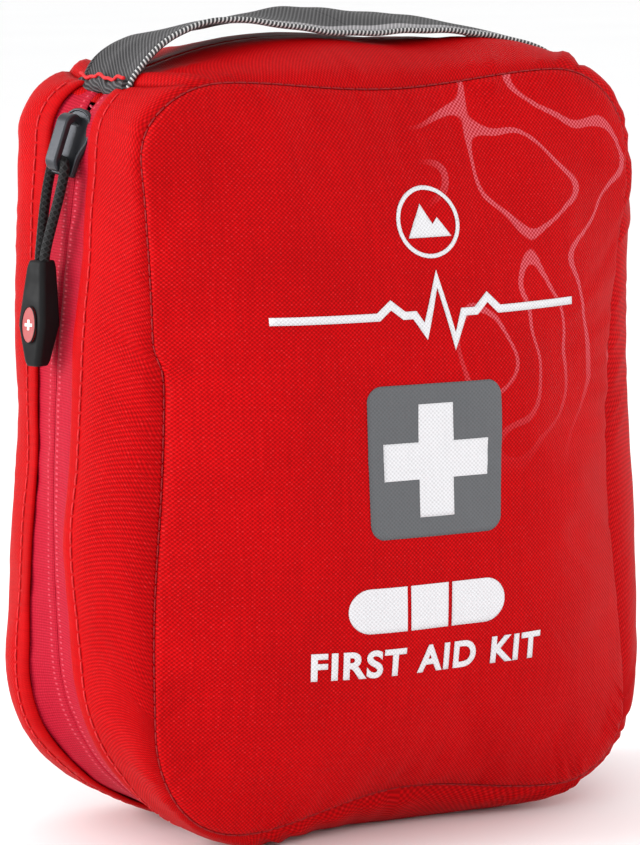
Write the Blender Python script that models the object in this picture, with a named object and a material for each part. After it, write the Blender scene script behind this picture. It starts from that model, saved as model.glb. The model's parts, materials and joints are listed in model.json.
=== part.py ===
"""Soft-sided first aid kit for hiking: a zipped fabric case in two halves, with its contents.

Frame: metres, +Z up, +X to the right of someone facing the front panel, -Y out of the front.
The origin is below the middle of the case, on the surface that it stands on.
"""
import math

import bmesh
import bpy
import numpy as np
from mathutils import Matrix, Vector

MM = 0.001
GAP = 0.3 * MM                 # clearance between pieces that touch

# Case: the front seam, the zip line and the rear seam are three loops, one behind the other.
FRONT_Y = -29.0 * MM           # plane of the front seam
REAR_Y = 34.0 * MM             # plane of the rear seam
SEAM_HALF_WIDTH = 59.3 * MM
REAR_HALF_WIDTH = 61.5 * MM
SEAM_BOTTOM = 6.2 * MM
SEAM_TOP = 171.6 * MM
SEAM_LOW_RADIUS = 25.0 * MM
SEAM_HIGH_RADIUS = 20.0 * MM
SIDE_BOW = 3.0 * MM            # how far the seams pull in between their corners
TOP_BOW = 2.9 * MM
BOTTOM_BOW = 4.2 * MM
ZIP_BOTTOM_RUN = 22.5 * MM     # half of the flat stretch under the case
ZIP_LOW_RADIUS = 48.0 * MM
ZIP_SIDE_RADIUS = 450.0 * MM   # the long curve that the slider follows
ZIP_SIDE_X = 70.6 * MM         # widest point of the zip line
ZIP_SIDE_Z = 68.0 * MM
ZIP_SIDE_START = math.radians(-2.0)
ZIP_SIDE_END = math.radians(11.5)
ZIP_HIGH_RADIUS = 14.0 * MM
ZIP_HIGH_END = math.radians(75.0)
TOP_CROWN_Z = 176.0 * MM
BULGE_POWER = 2.6              # how sharply the gusset rounds out from a seam
BASE_Z = 1.2 * MM              # the lowest fabric flattens by this much under its own weight
FRONT_CROWN = 19.8 * MM
REAR_CROWN = 5.0 * MM
CROWN_POWER = 2.2
FABRIC = 1.2 * MM
LINING = 0.8 * MM
LINING_GAP = 1.0 * MM
HINGE_Z = 172.2 * MM - BASE_Z  # both folds of the top gusset turn about lines at this height

# Zip
GUSSET_EDGE = 4.6 * MM         # distance of the gussets' folded edges from the zip's middle
TAPE_EDGE = 0.9 * MM
TAPE_DEPTH = 0.6 * MM
TAPE = 0.6 * MM
COIL_WIDTH = 1.5 * MM
COIL = 1.2 * MM
SLIDER_ANGLE = math.radians(10.9)   # where the slider is parked on the long curve
SLIDER_LEAN = math.radians(6.0)
PULL_STRAND = 2.9 * MM         # half of the distance between the cord's strands at the bridge
PULL_MEET = 1.3 * MM           # the same at the grip
PULL_DROP = 21.0 * MM          # from the bridge down to the grip
GRIP_LENGTH = 24.6 * MM
GRIP_OUT = 3.6 * MM            # the wall pushes the grip this far out from below the bridge
GRIP_LEAN = 0.075              # slope of the grip, which lies along the wall
# The grip's sections from its top down: how far down, then its width and depth as fractions.
GRIP_SECTIONS = ((0.0, 0.62, 0.72), (0.06, 0.7, 0.84), (0.58, 1.0, 1.0),
                 (0.94, 0.62, 0.78), (1.0, 0.54, 0.62))

# Handle
STRAP_HALF_SPAN = 45.0 * MM
STRAP_THICK = 1.4 * MM
STRAP_HALF_WIDTH = 12.5 * MM
STRAP_END_HALF_WIDTH = 7.5 * MM
STRAP_END_Z = 175.2 * MM - BASE_Z
STRAP_TOP_Z = 182.6 * MM - BASE_Z

# Tools
PIVOT_X, PIVOT_Z = -8.0 * MM, 105.0 * MM
TWEEZERS_X = 41.0 * MM
BLADE = 1.2 * MM
BLADE_Y = {"fixed": 5.4 * MM, "moving": 3.9 * MM}

BOTTOM_STEPS, LOW_STEPS, SIDE_STEPS, HIGH_STEPS, TOP_STEPS = 4, 6, 6, 4, 5
RIGHT_CROSS_SEAM = BOTTOM_STEPS + LOW_STEPS + SIDE_STEPS + HIGH_STEPS // 2
HALF_STEPS = BOTTOM_STEPS + LOW_STEPS + SIDE_STEPS + HIGH_STEPS + TOP_STEPS
LEFT_CROSS_SEAM = 2 * HALF_STEPS - RIGHT_CROSS_SEAM
RINGS = (1.0, 0.95, 0.82, 0.6, 0.32)
LINING_RINGS = (0.97, 0.8, 0.45)


def clear_scene():
    for obj in list(bpy.data.objects):
        bpy.data.objects.remove(obj, do_unlink=True)


def material(name, rgb, roughness, metallic=0.0):
    mat = bpy.data.materials.new(name)
    mat.use_nodes = True
    shader = mat.node_tree.nodes["Principled BSDF"]
    shader.inputs["Base Color"].default_value = (*rgb, 1.0)
    shader.inputs["Roughness"].default_value = roughness
    shader.inputs["Metallic"].default_value = metallic
    return mat


def make_object(name, verts, faces, mat):
    """One closed body from vertices and faces, with its faces turned outwards."""
    mesh = bpy.data.meshes.new(name)
    bm = bmesh.new()
    made = [bm.verts.new(v) for v in verts]
    for face in faces:
        bm.faces.new([made[i] for i in face])
    bmesh.ops.recalc_face_normals(bm, faces=bm.faces)
    if bm.calc_volume(signed=True) < 0:
        bmesh.ops.reverse_faces(bm, faces=bm.faces)
    bm.to_mesh(mesh)
    bm.free()
    mesh.materials.append(mat)
    mesh.shade_smooth()
    mesh.set_sharp_from_angle(angle=math.radians(35))
    obj = bpy.data.objects.new(name, mesh)
    bpy.context.scene.collection.objects.link(obj)
    return obj


def hang(name, point, pieces):
    """An empty on a joint's axis, carrying the pieces and the other empties that turn about it."""
    axis = bpy.data.objects.new(name, None)
    bpy.context.scene.collection.objects.link(axis)
    axis.location = point
    for piece in pieces:
        child = bpy.data.objects[piece]
        child.parent = axis
        child.matrix_parent_inverse = Matrix.Translation(-Vector(point))


# ---------------------------------------------------------------- outlines

def arc(cx, cz, radius, start, end, steps):
    turn = [start + (end - start) * i / steps for i in range(steps)]
    return [(cx + radius * math.cos(a), cz + radius * math.sin(a)) for a in turn]


def seam_half(half_width):
    """Right half of a panel seam, from bottom middle to top middle, as (x, z)."""
    run = half_width - SEAM_LOW_RADIUS
    points = []
    for i in range(BOTTOM_STEPS):
        t = i / BOTTOM_STEPS
        points.append((run * t, SEAM_BOTTOM + BOTTOM_BOW * math.cos(math.pi / 2 * t) ** 2))
    low_z = SEAM_BOTTOM + SEAM_LOW_RADIUS
    points += arc(run, low_z, SEAM_LOW_RADIUS, -math.pi / 2, 0, LOW_STEPS)
    high_z = SEAM_TOP - SEAM_HIGH_RADIUS
    for i in range(SIDE_STEPS):
        t = i / SIDE_STEPS
        bow = SIDE_BOW * math.sin(math.pi * t) ** 2
        points.append((half_width - bow, low_z + (high_z - low_z) * t))
    top_run = half_width - SEAM_HIGH_RADIUS
    points += arc(top_run, high_z, SEAM_HIGH_RADIUS, 0, math.pi / 2, HIGH_STEPS)
    for i in range(TOP_STEPS + 1):
        t = i / TOP_STEPS
        points.append((top_run * (1 - t), SEAM_TOP - TOP_BOW * math.sin(math.pi / 2 * t) ** 2))
    return points


def zip_half():
    """Right half of the zip line, from bottom middle to top middle, as (x, z)."""
    points = [(ZIP_BOTTOM_RUN * i / BOTTOM_STEPS, 0.0) for i in range(BOTTOM_STEPS)]
    points += arc(ZIP_BOTTOM_RUN, ZIP_LOW_RADIUS, ZIP_LOW_RADIUS, -math.pi / 2, -0.04, LOW_STEPS)
    far = ZIP_SIDE_X - ZIP_SIDE_RADIUS
    points += arc(far, ZIP_SIDE_Z, ZIP_SIDE_RADIUS, ZIP_SIDE_START, ZIP_SIDE_END, SIDE_STEPS)
    inner = ZIP_SIDE_RADIUS - ZIP_HIGH_RADIUS
    corner_x = far + inner * math.cos(ZIP_SIDE_END)
    corner_z = ZIP_SIDE_Z + inner * math.sin(ZIP_SIDE_END)
    points += arc(corner_x, corner_z, ZIP_HIGH_RADIUS, ZIP_SIDE_END, ZIP_HIGH_END, HIGH_STEPS)
    end_x = corner_x + ZIP_HIGH_RADIUS * math.cos(ZIP_HIGH_END)
    end_z = corner_z + ZIP_HIGH_RADIUS * math.sin(ZIP_HIGH_END)
    for i in range(TOP_STEPS + 1):
        x = end_x * (1 - i / TOP_STEPS)
        points.append((x, TOP_CROWN_Z - (TOP_CROWN_Z - end_z) * (x / end_x) ** 2))
    return points


def full_loop(half):
    """Mirror a right half into a closed loop of points."""
    left = [(-x, z) for x, z in half[-2:0:-1]]
    return np.array(half + left)


FRONT_LOOP = full_loop(seam_half(SEAM_HALF_WIDTH))
REAR_LOOP = full_loop(seam_half(REAR_HALF_WIDTH))
ZIP_LOOP = full_loop(zip_half())
WALL = list(range(LEFT_CROSS_SEAM, 2 * HALF_STEPS)) + list(range(RIGHT_CROSS_SEAM + 1))
TOP = list(range(RIGHT_CROSS_SEAM, LEFT_CROSS_SEAM + 1))


def loop_normals(loop):
    """Outward direction at each point of a closed loop that runs anticlockwise."""
    tangent = np.roll(loop, -1, 0) - np.roll(loop, 1, 0)
    normal = np.stack([tangent[:, 1], -tangent[:, 0]], 1)
    return normal / np.linalg.norm(normal, axis=1)[:, None]


def gusset_loop(y):
    """The case's outer outline where it is cut at depth y, and its outward directions."""
    seam, depth = (FRONT_LOOP, FRONT_Y) if y < 0 else (REAR_LOOP, REAR_Y)
    out = 1 - (y / depth) ** BULGE_POWER
    loop = seam * (1 - out) + ZIP_LOOP * out
    return loop, loop_normals(loop)


def ground(z):
    """Heights above the surface, with the lowest fabric pressed flat on it."""
    return max(z, BASE_Z) - BASE_Z


def band_point(y, index, depth):
    loop, normals = gusset_loop(y)
    x, z = loop[index]
    z = ground(z)
    return (x - normals[index][0] * depth, y, z - normals[index][1] * depth)


def trimmed(path, cut):
    """The same open path of points, with both ends pulled back by cut."""
    path = [np.array(p) for p in path]
    for end, near in ((0, 1), (-1, -2)):
        way = path[near] - path[end]
        path[end] = path[end] + way / np.linalg.norm(way) * cut
    return path


def band_rows(indices, depths_y, depth, cut):
    return [trimmed([band_point(y, i, depth) for i in indices], cut) for y in depths_y]


# ---------------------------------------------------------------- solids

def sheet_solid(name, outer, inner, mat):
    """A closed body between two grids of points of the same size."""
    rows, cols = len(outer), len(outer[0])
    verts = [tuple(p) for row in outer for p in row] + [tuple(p) for row in inner for p in row]
    half = rows * cols

    def at(layer, r, c):
        return layer * half + r * cols + c

    faces = []
    for r in range(rows - 1):
        for c in range(cols - 1):
            faces.append([at(0, r, c), at(0, r, c + 1), at(0, r + 1, c + 1), at(0, r + 1, c)])
            faces.append([at(1, r, c), at(1, r + 1, c), at(1, r + 1, c + 1), at(1, r, c + 1)])
    end, side = rows - 1, cols - 1
    for c in range(cols - 1):
        faces.append([at(0, 0, c), at(1, 0, c), at(1, 0, c + 1), at(0, 0, c + 1)])
        faces.append([at(0, end, c), at(0, end, c + 1), at(1, end, c + 1), at(1, end, c)])
    for r in range(rows - 1):
        faces.append([at(0, r, 0), at(0, r + 1, 0), at(1, r + 1, 0), at(1, r, 0)])
        faces.append([at(0, r, side), at(1, r, side), at(1, r + 1, side), at(0, r + 1, side)])
    return make_object(name, verts, faces, mat)


def band(name, indices, depths_y, outer_depth, thickness, mat, cut=GAP):
    """A strip of the case's wall between two depths below the outer surface."""
    outer = band_rows(indices, depths_y, outer_depth, cut)
    inner = band_rows(indices, depths_y, outer_depth + thickness, cut)
    return sheet_solid(name, outer, inner, mat)


def loop_centre(loop):
    return np.array([0.0, (loop[:, 1].max() + loop[:, 1].min()) / 2])


def ring_factor(loop, x, z):
    """0 at the middle of a panel and 1 on its seam, in the direction of (x, z)."""
    spokes = loop - loop_centre(loop)
    angles = np.arctan2(spokes[:, 1], spokes[:, 0])
    order = np.argsort(angles)
    reach = np.linalg.norm(spokes, axis=1)
    offset = np.array([x, z]) - loop_centre(loop)
    angle = math.atan2(offset[1], offset[0])
    limit = np.interp(angle, angles[order], reach[order], period=2 * math.pi)
    return min(np.linalg.norm(offset) / limit, 1.0)


def crown(loop, height, x, z):
    """How far a panel stands out of its seam's plane; z is above the lowest fabric."""
    centre = loop_centre(loop)
    half_width = loop[:, 0].max()
    half_height = centre[1] - loop[:, 1].min()
    across = 1 - min(abs(x / half_width), 1.0) ** CROWN_POWER
    upright = 1 - min(abs((z - centre[1]) / half_height), 1.0) ** CROWN_POWER
    return height * across * upright * (1 - ring_factor(loop, x, z) ** 10)


def panel_y(side, x, z, depth):
    """Depth of a panel's surface; side is -1 for the front and 1 for the rear."""
    if side < 0:
        loop, seam_y, height = FRONT_LOOP, FRONT_Y, FRONT_CROWN
    else:
        loop, seam_y, height = REAR_LOOP, REAR_Y, REAR_CROWN
    return seam_y + side * (crown(loop, height, x, z + BASE_Z) - depth)


def disc_solid(name, side, rings, outer_depth, thickness, mat):
    """A crowned panel: rings of points that shrink towards its middle."""
    loop = FRONT_LOOP if side < 0 else REAR_LOOP
    centre = loop_centre(loop)
    inset = loop - loop_normals(loop) * GAP
    count = len(loop)
    verts = []
    for depth in (outer_depth, outer_depth + thickness):
        for ring in rings:
            for x, z in centre + (inset - centre) * ring:
                verts.append((x, panel_y(side, x, z - BASE_Z, depth), z - BASE_Z))
        verts.append((0.0, panel_y(side, 0.0, centre[1] - BASE_Z, depth), centre[1] - BASE_Z))
    layer = len(rings) * count + 1
    faces = []
    for base in (0, layer):
        for r in range(len(rings) - 1):
            for i in range(count):
                j = (i + 1) % count
                low, high = base + r * count, base + (r + 1) * count
                faces.append([low + i, low + j, high + j, high + i])
        last = base + (len(rings) - 1) * count
        faces += [[last + i, last + (i + 1) % count, base + layer - 1] for i in range(count)]
    faces += [[i, (i + 1) % count, layer + (i + 1) % count, layer + i] for i in range(count)]
    return make_object(name, verts, faces, mat)


def extruded(name, outline, low, high, mat, axis="y"):
    """Extrude a closed outline along an axis. The outline's numbers are (x, z) for axis y."""
    count = len(outline)
    verts = []
    for level in (low, high):
        for u, v in outline:
            verts.append({"y": (u, level, v), "x": (level, u, v), "z": (u, v, level)}[axis])
    faces = [list(range(count)), list(range(count, 2 * count))]
    faces += [[i, (i + 1) % count, count + (i + 1) % count, count + i] for i in range(count)]
    return make_object(name, verts, faces, mat)


def box(name, low, high, mat):
    outline = [(low[0], low[2]), (high[0], low[2]), (high[0], high[2]), (low[0], high[2])]
    return extruded(name, outline, low[1], high[1], mat)


def rounded_outline(low_u, low_v, high_u, high_v, radius, steps=3):
    corners = ((high_u - radius, low_v + radius, -math.pi / 2), (high_u - radius, high_v - radius, 0.0),
               (low_u + radius, high_v - radius, math.pi / 2), (low_u + radius, low_v + radius, math.pi))
    points = []
    for u, v, start in corners:
        points += arc(u, v, radius, start, start + math.pi / 2, steps)
        end = start + math.pi / 2
        points.append((u + radius * math.cos(end), v + radius * math.sin(end)))
    return points


def pouch_pack(name, low, high, mat, rim=3.0 * MM):
    """A sealed flat pack: full thickness in the middle and a thin edge all round."""
    x0, y0, z0 = low
    x1, y1, z1 = high
    mid = (y0 + y1) / 2
    edge = 0.4 * MM
    frames = ((0.0, edge), (rim, edge), (2.2 * rim, (y1 - y0) / 2))
    outer, inner = [], []
    us = [x0 + f[0] for f in frames] + [x1 - f[0] for f in reversed(frames)]
    vs = [z0 + f[0] for f in frames] + [z1 - f[0] for f in reversed(frames)]
    half = [f[1] for f in frames] + [f[1] for f in reversed(frames)]
    for i, z in enumerate(vs):
        outer.append([(x, mid - min(half[i], half[j]), z) for j, x in enumerate(us)])
        inner.append([(x, mid + min(half[i], half[j]), z) for j, x in enumerate(us)])
    return sheet_solid(name, outer, inner, mat)


def roll(name, x0, x1, centre_y, centre_z, radius, mat, bore=0.0, steps=20):
    """A roll lying along X, with a bore through it if one is given."""
    turn = [2 * math.pi * i / steps for i in range(steps)]
    verts, faces = [], []
    radii = (radius, bore) if bore else (radius,)
    for r in radii:
        for x in (x0, x1):
            verts += [(x, centre_y + r * math.cos(a), centre_z + r * math.sin(a)) for a in turn]
    for i in range(steps):
        j = (i + 1) % steps
        faces.append([i, j, steps + j, steps + i])
        if bore:
            faces.append([2 * steps + i, 3 * steps + i, 3 * steps + j, 2 * steps + j])
            faces.append([i, 2 * steps + i, 2 * steps + j, j])
            faces.append([steps + i, steps + j, 3 * steps + j, 3 * steps + i])
    if not bore:
        faces += [list(range(steps)), list(range(steps, 2 * steps))]
    return make_object(name, verts, faces, mat)


def tube(name, points, radius, mat, cyclic=False, resolution=2):
    """A round rod or cord along a chain of points."""
    curve = bpy.data.curves.new(name, "CURVE")
    curve.dimensions = "3D"
    curve.bevel_depth = radius
    curve.bevel_resolution = resolution
    curve.use_fill_caps = True
    spline = curve.splines.new("POLY")
    spline.points.add(len(points) - 1)
    for slot, point in zip(spline.points, points):
        slot.co = (*point, 1.0)
    spline.use_cyclic_u = cyclic
    curve.materials.append(mat)
    obj = bpy.data.objects.new(name, curve)
    bpy.context.scene.collection.objects.link(obj)
    return obj


def cut_with(obj, tool, operation):
    """Join a tool to an object, or cut it out; the tool itself is only a guide."""
    tool.parent = obj
    tool.hide_render = True
    tool.display_type = "WIRE"
    step = obj.modifiers.new(operation.title(), "BOOLEAN")
    step.operation = operation
    step.solver = "EXACT"
    step.object = tool


# ---------------------------------------------------------------- case

def depth_steps(start, end, count):
    """Evenly spaced depths from start to end."""
    return [start + (end - start) * i / count for i in range(count + 1)]


def build_case(red, lining_red, grey):
    front_wall = depth_steps(FRONT_Y + FABRIC + 2 * GAP, -GUSSET_EDGE, 4)
    rear_wall = depth_steps(REAR_Y - FABRIC - 2 * GAP, GUSSET_EDGE, 4)
    disc_solid("front_panel", -1, RINGS, 0.0, FABRIC, red)
    disc_solid("rear_panel", 1, RINGS, 0.0, FABRIC, red)
    disc_solid("front_lining", -1, LINING_RINGS, FABRIC + LINING_GAP, LINING, lining_red)
    disc_solid("rear_lining", 1, LINING_RINGS, FABRIC + LINING_GAP, LINING, lining_red)
    band("front_gusset", WALL, front_wall, 0.0, FABRIC, red)
    band("rear_gusset", WALL, rear_wall, 0.0, FABRIC, red)
    hinge_gap = 1.0 * MM
    strip = (depth_steps(FRONT_Y + FABRIC + hinge_gap, 0.0, 4)
             + depth_steps(0.0, REAR_Y - FABRIC - hinge_gap, 4)[1:])
    band("top_gusset", TOP, strip, 0.0, FABRIC, red)
    binding = 5.0 * MM
    step = 2.4 * MM
    front_binding = depth_steps(FRONT_Y + 5.0 * MM, FRONT_Y + 5.0 * MM + binding, 1)
    rear_binding = depth_steps(REAR_Y - 5.0 * MM, REAR_Y - 5.0 * MM - binding, 1)
    band("front_seam_binding", WALL, front_binding, step, LINING, grey, cut=4 * MM)
    band("rear_seam_binding", WALL, rear_binding, step, LINING, grey, cut=4 * MM)


def build_zip(tape_red, coil_red, grey):
    for side, half in ((-1, "front"), (1, "rear")):
        tape_y = (side * (GUSSET_EDGE - GAP), side * TAPE_EDGE)
        coil_y = (side * (TAPE_EDGE + COIL_WIDTH), side * TAPE_EDGE)
        band(half + "_zip_tape", WALL, tape_y, TAPE_DEPTH, TAPE, tape_red)
        band(half + "_zip_coil", WALL, coil_y, TAPE_DEPTH + TAPE + GAP, COIL, coil_red, cut=5 * MM)
    for name, mirror in (("zip_end_stop_left", -1), ("zip_end_stop_right", 1)):
        index = LEFT_CROSS_SEAM if mirror < 0 else RIGHT_CROSS_SEAM
        x, _, z = band_point(0.0, index, TAPE_DEPTH + TAPE + GAP + COIL / 2)
        inner = 1.6 * MM
        low = (x - inner, -2.4 * MM, z - inner)
        high = (x + inner, 2.4 * MM, z + inner)
        stop = box(name, low, high, grey)
        shift = 2.6 * MM
        stop.location = (-mirror * shift, 0.0, -shift)


def slider_frame():
    """Where the parked slider sits on the left side: its place and its tilt from upright."""
    far = ZIP_SIDE_RADIUS - ZIP_SIDE_X
    x = far - ZIP_SIDE_RADIUS * math.cos(SLIDER_ANGLE)
    z = ZIP_SIDE_Z - BASE_Z + ZIP_SIDE_RADIUS * math.sin(SLIDER_ANGLE)
    return x, z, SLIDER_ANGLE + SLIDER_LEAN


def on_slider(along, out):
    """World (x, z) of a point given along the zip and out of the case, in the slider's frame."""
    x, z, tilt = slider_frame()
    return (x + along * math.sin(tilt) - out * math.cos(tilt),
            z + along * math.cos(tilt) + out * math.sin(tilt))


def slider_plate(name, half_length, half_width, low, high, waist, mat):
    """A plate of the slider: broad shoulders near its top, narrow where the coils leave it."""
    profile = ((-1.0, waist), (-0.55, waist), (0.1, 1.0), (0.6, 1.0), (1.0, 0.45))
    outer, inner = [], []
    for along, width in profile:
        row_low, row_high = [], []
        for side in (-1, 0, 1):
            for row, out in ((row_low, low), (row_high, high)):
                x, z = on_slider(along * half_length, out)
                row.append((x, side * width * half_width, z))
        outer.append(row_high)
        inner.append(row_low)
    return sheet_solid(name, outer, inner, mat)


def slider_block(name, outline, half_width, mat):
    """A block of the slider from an outline of (along, out) points."""
    points = [on_slider(along, out) for along, out in outline]
    return extruded(name, points, -half_width, half_width, mat)


def build_slider(gunmetal):
    top_low, top_high = 0.5 * MM, 1.7 * MM
    body = slider_plate("zip_slider", 7.6 * MM, 4.3 * MM, top_low, top_high, 0.72, gunmetal)
    inner_low = -(TAPE_DEPTH + TAPE + GAP + COIL + 1.9 * MM)
    inner_high = inner_low + 0.9 * MM
    inner = slider_plate("inner_plate_guide", 4.0 * MM, 3.6 * MM, inner_low, inner_high, 0.8, gunmetal)
    post_start, post_end = 0.9 * MM, 3.4 * MM
    post_low, post_high = inner_low + 0.4 * MM, 1.0 * MM
    post_outline = [(post_start, post_low), (post_end, post_low),
                    (post_end, post_high), (post_start, post_high)]
    post = slider_block("post_guide", post_outline, 0.5 * MM, gunmetal)
    bridge_outline = rounded_outline(-5.6 * MM, 1.2 * MM, 6.0 * MM, 8.0 * MM, 2.6 * MM)
    bridge = slider_block("bridge_guide", bridge_outline, 1.5 * MM, gunmetal)
    window_outline = rounded_outline(-3.9 * MM, 2.2 * MM, 4.3 * MM, 6.3 * MM, 1.5 * MM)
    window = slider_block("window_guide", window_outline, 4.0 * MM, gunmetal)
    cut_with(body, inner, "UNION")
    cut_with(body, post, "UNION")
    cut_with(body, bridge, "UNION")
    cut_with(body, window, "DIFFERENCE")


def hook():
    """Where the pull's cord crosses the slider's window, as (x, z)."""
    return on_slider(-2.2 * MM, 4.8 * MM)


def build_pull(black, badge_red):
    """The cord loop through the bridge, and the grip that hangs on it."""
    hook_x, hook_z = hook()
    grip_x, grip_top = hook_x - GRIP_OUT, hook_z - PULL_DROP
    drop = hook_z - 1.3 * MM - grip_top
    loop = []
    for side in (-1, 1):
        run = []
        for t in (0.0, 0.12, 0.3, 0.5, 0.7, 0.85, 0.94):
            ease = t * t * (3 - 2 * t)
            y = side * (PULL_MEET + (PULL_STRAND - PULL_MEET) * ease)
            run.append((grip_x + GRIP_OUT * t, y, grip_top + GAP + drop * t))
        run.append((hook_x, side * (PULL_STRAND - 0.5 * MM), hook_z - 0.4 * MM))
        run.append((hook_x, side * PULL_MEET, hook_z))
        loop = loop + run if side < 0 else loop + run[::-1]
    tube("pull_cord", loop, 1.1 * MM, black)
    build_grip(grip_x, grip_top, black, badge_red)


def build_grip(grip_x, grip_top, black, badge_red):
    """The moulded grip: an eight-sided taper, widest below its middle, and its badge."""
    half_width, half_depth = 4.6 * MM, 2.9 * MM
    chamfer = 0.3
    verts, faces = [], []
    for down, width, depth in GRIP_SECTIONS:
        w, d = half_width * width, half_depth * depth
        cut = chamfer * d
        ring = ((-d, -w + cut), (-d + cut, -w), (d - cut, -w), (d, -w + cut),
                (d, w - cut), (d - cut, w), (-d + cut, w), (-d, w - cut))
        centre_x = grip_x - GRIP_LEAN * GRIP_LENGTH * down
        verts += [(centre_x + x, y, grip_top - GRIP_LENGTH * down) for x, y in ring]
    sides = 8
    for r in range(len(GRIP_SECTIONS) - 1):
        for i in range(sides):
            j = (i + 1) % sides
            faces.append([r * sides + i, r * sides + j, (r + 1) * sides + j, (r + 1) * sides + i])
    last = (len(GRIP_SECTIONS) - 1) * sides
    faces += [list(range(sides)), [last + i for i in range(sides)]]
    make_object("pull_grip", verts, faces, black)
    badge_z = grip_top - 0.58 * GRIP_LENGTH
    turn = [2 * math.pi * i / 16 for i in range(16)]
    oval = [(2.1 * MM * math.cos(a), badge_z + 3.6 * MM * math.sin(a)) for a in turn]
    face_x = grip_x - GRIP_LEAN * 0.58 * GRIP_LENGTH - half_depth - 2 * GAP
    extruded("pull_badge", oval, face_x - 0.5 * MM, face_x, badge_red, axis="x")


def strap_height(x):
    """Underside of the handle, above the ground."""
    t = abs(x) / STRAP_HALF_SPAN
    return STRAP_TOP_Z - STRAP_THICK - (STRAP_TOP_Z - STRAP_END_Z) * t ** 2.4


def build_handle(webbing):
    steps = 14
    under, over = [], []
    for i in range(steps + 1):
        x = STRAP_HALF_SPAN * (2 * i / steps - 1)
        t = abs(x) / STRAP_HALF_SPAN
        half = STRAP_HALF_WIDTH + (STRAP_END_HALF_WIDTH - STRAP_HALF_WIDTH) * max(t - 0.55, 0.0) / 0.45
        z = strap_height(x)
        under.append([(x, s * half, z) for s in (-1, 0, 1)])
        over.append([(x, s * half, z + STRAP_THICK) for s in (-1, 0, 1)])
    sheet_solid("handle_strap", over, under, webbing)
    for name, mirror in (("handle_end_left", -1), ("handle_end_right", 1)):
        top, low = [], []
        for x in (STRAP_HALF_SPAN + GAP, 48.5 * MM, 52.0 * MM):
            fall = (x - STRAP_HALF_SPAN) * 0.42
            z = STRAP_END_Z - fall
            top.append([(mirror * x, s * 8.5 * MM, z) for s in (-1, 0, 1)])
            low.append([(mirror * x, s * 8.5 * MM, z - STRAP_THICK) for s in (-1, 0, 1)])
        sheet_solid(name, top, low, webbing)


# ---------------------------------------------------------------- pockets and fittings inside

def pocket(name, side, half_width, low_z, high_z, sheet_y, mat, hem_mat):
    """A gathered pocket: its sides and bottom run back to the lining and its top edge is free."""
    flank = 7.0 * MM
    cols, rows = 12, 6
    thick = 0.7 * MM
    outer, inner = [], []
    for r in range(rows + 1):
        z = low_z + (high_z - low_z) * (r / rows) ** 1.3
        row_out, row_in = [], []
        for c in range(cols + 1):
            x = half_width * math.sin(math.pi / 2 * (2 * c / cols - 1))
            rise_x = min((half_width - abs(x)) / flank, 1.0)
            rise_z = min((z - low_z) / flank, 1.0)
            out = math.sin(math.pi / 2 * rise_x) * math.sin(math.pi / 2 * rise_z)
            back = panel_y(side, x, z, FABRIC + LINING_GAP + LINING + 2 * GAP)
            y = back + (sheet_y - back) * out
            row_out.append((x, y, z))
            row_in.append((x, y - side * thick * (1 - 2 * (out < 0)), z))
        outer.append(row_out)
        inner.append(row_in)
    sheet_solid(name, outer, inner, mat)
    edge = [(p[0], p[1] - side * thick / 2, p[2] + 1.6 * MM) for p in outer[-1]]
    tube(name + "_hem", edge[1:-1], 1.1 * MM, hem_mat, resolution=1)


def elastic_loop(name, centre_x, centre_z, half_gap, depth, mat):
    """A short strap that stands out of the elastic band over a tool's shank."""
    back, width, thick = 8.0 * MM, 6.0 * MM, 0.8 * MM
    front = back - depth
    foot = 3.0 * MM
    end = half_gap + foot
    under = [(-end, back), (-half_gap, back), (-half_gap, front),
             (half_gap, front), (half_gap, back), (end, back)]
    near, over_gap = front - thick, half_gap + thick
    over = [(-end, back - thick), (-over_gap, back - thick), (-over_gap, near),
            (over_gap, near), (over_gap, back - thick), (end, back - thick)]
    outer = [[(centre_x + u, v, centre_z + s * width / 2) for s in (-1, 1)] for u, v in over]
    inner = [[(centre_x + u, v, centre_z + s * width / 2) for s in (-1, 1)] for u, v in under]
    sheet_solid(name, outer, inner, mat)


def build_pockets(mesh_mat, red, grey, elastic):
    pocket("front_pocket", -1, 49.0 * MM, 12.0 * MM, 96.0 * MM, -13.0 * MM, mesh_mat, grey)
    pocket("rear_pocket", 1, 52.0 * MM, 14.0 * MM, 60.0 * MM, 3.0 * MM, red, grey)
    box("organiser_panel", (-50 * MM, 9.4 * MM, 76 * MM), (50 * MM, 10.2 * MM, 156 * MM), red)
    box("elastic_band", (-50 * MM, 8.3 * MM, 134 * MM), (50 * MM, 9.1 * MM, 146 * MM), elastic)
    elastic_loop("scissors_loop", -23.0 * MM, 140 * MM, 4.0 * MM, 6.0 * MM, elastic)
    elastic_loop("tweezers_loop", TWEEZERS_X, 140 * MM, 5.6 * MM, 6.0 * MM, elastic)


# ---------------------------------------------------------------- contents

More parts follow.
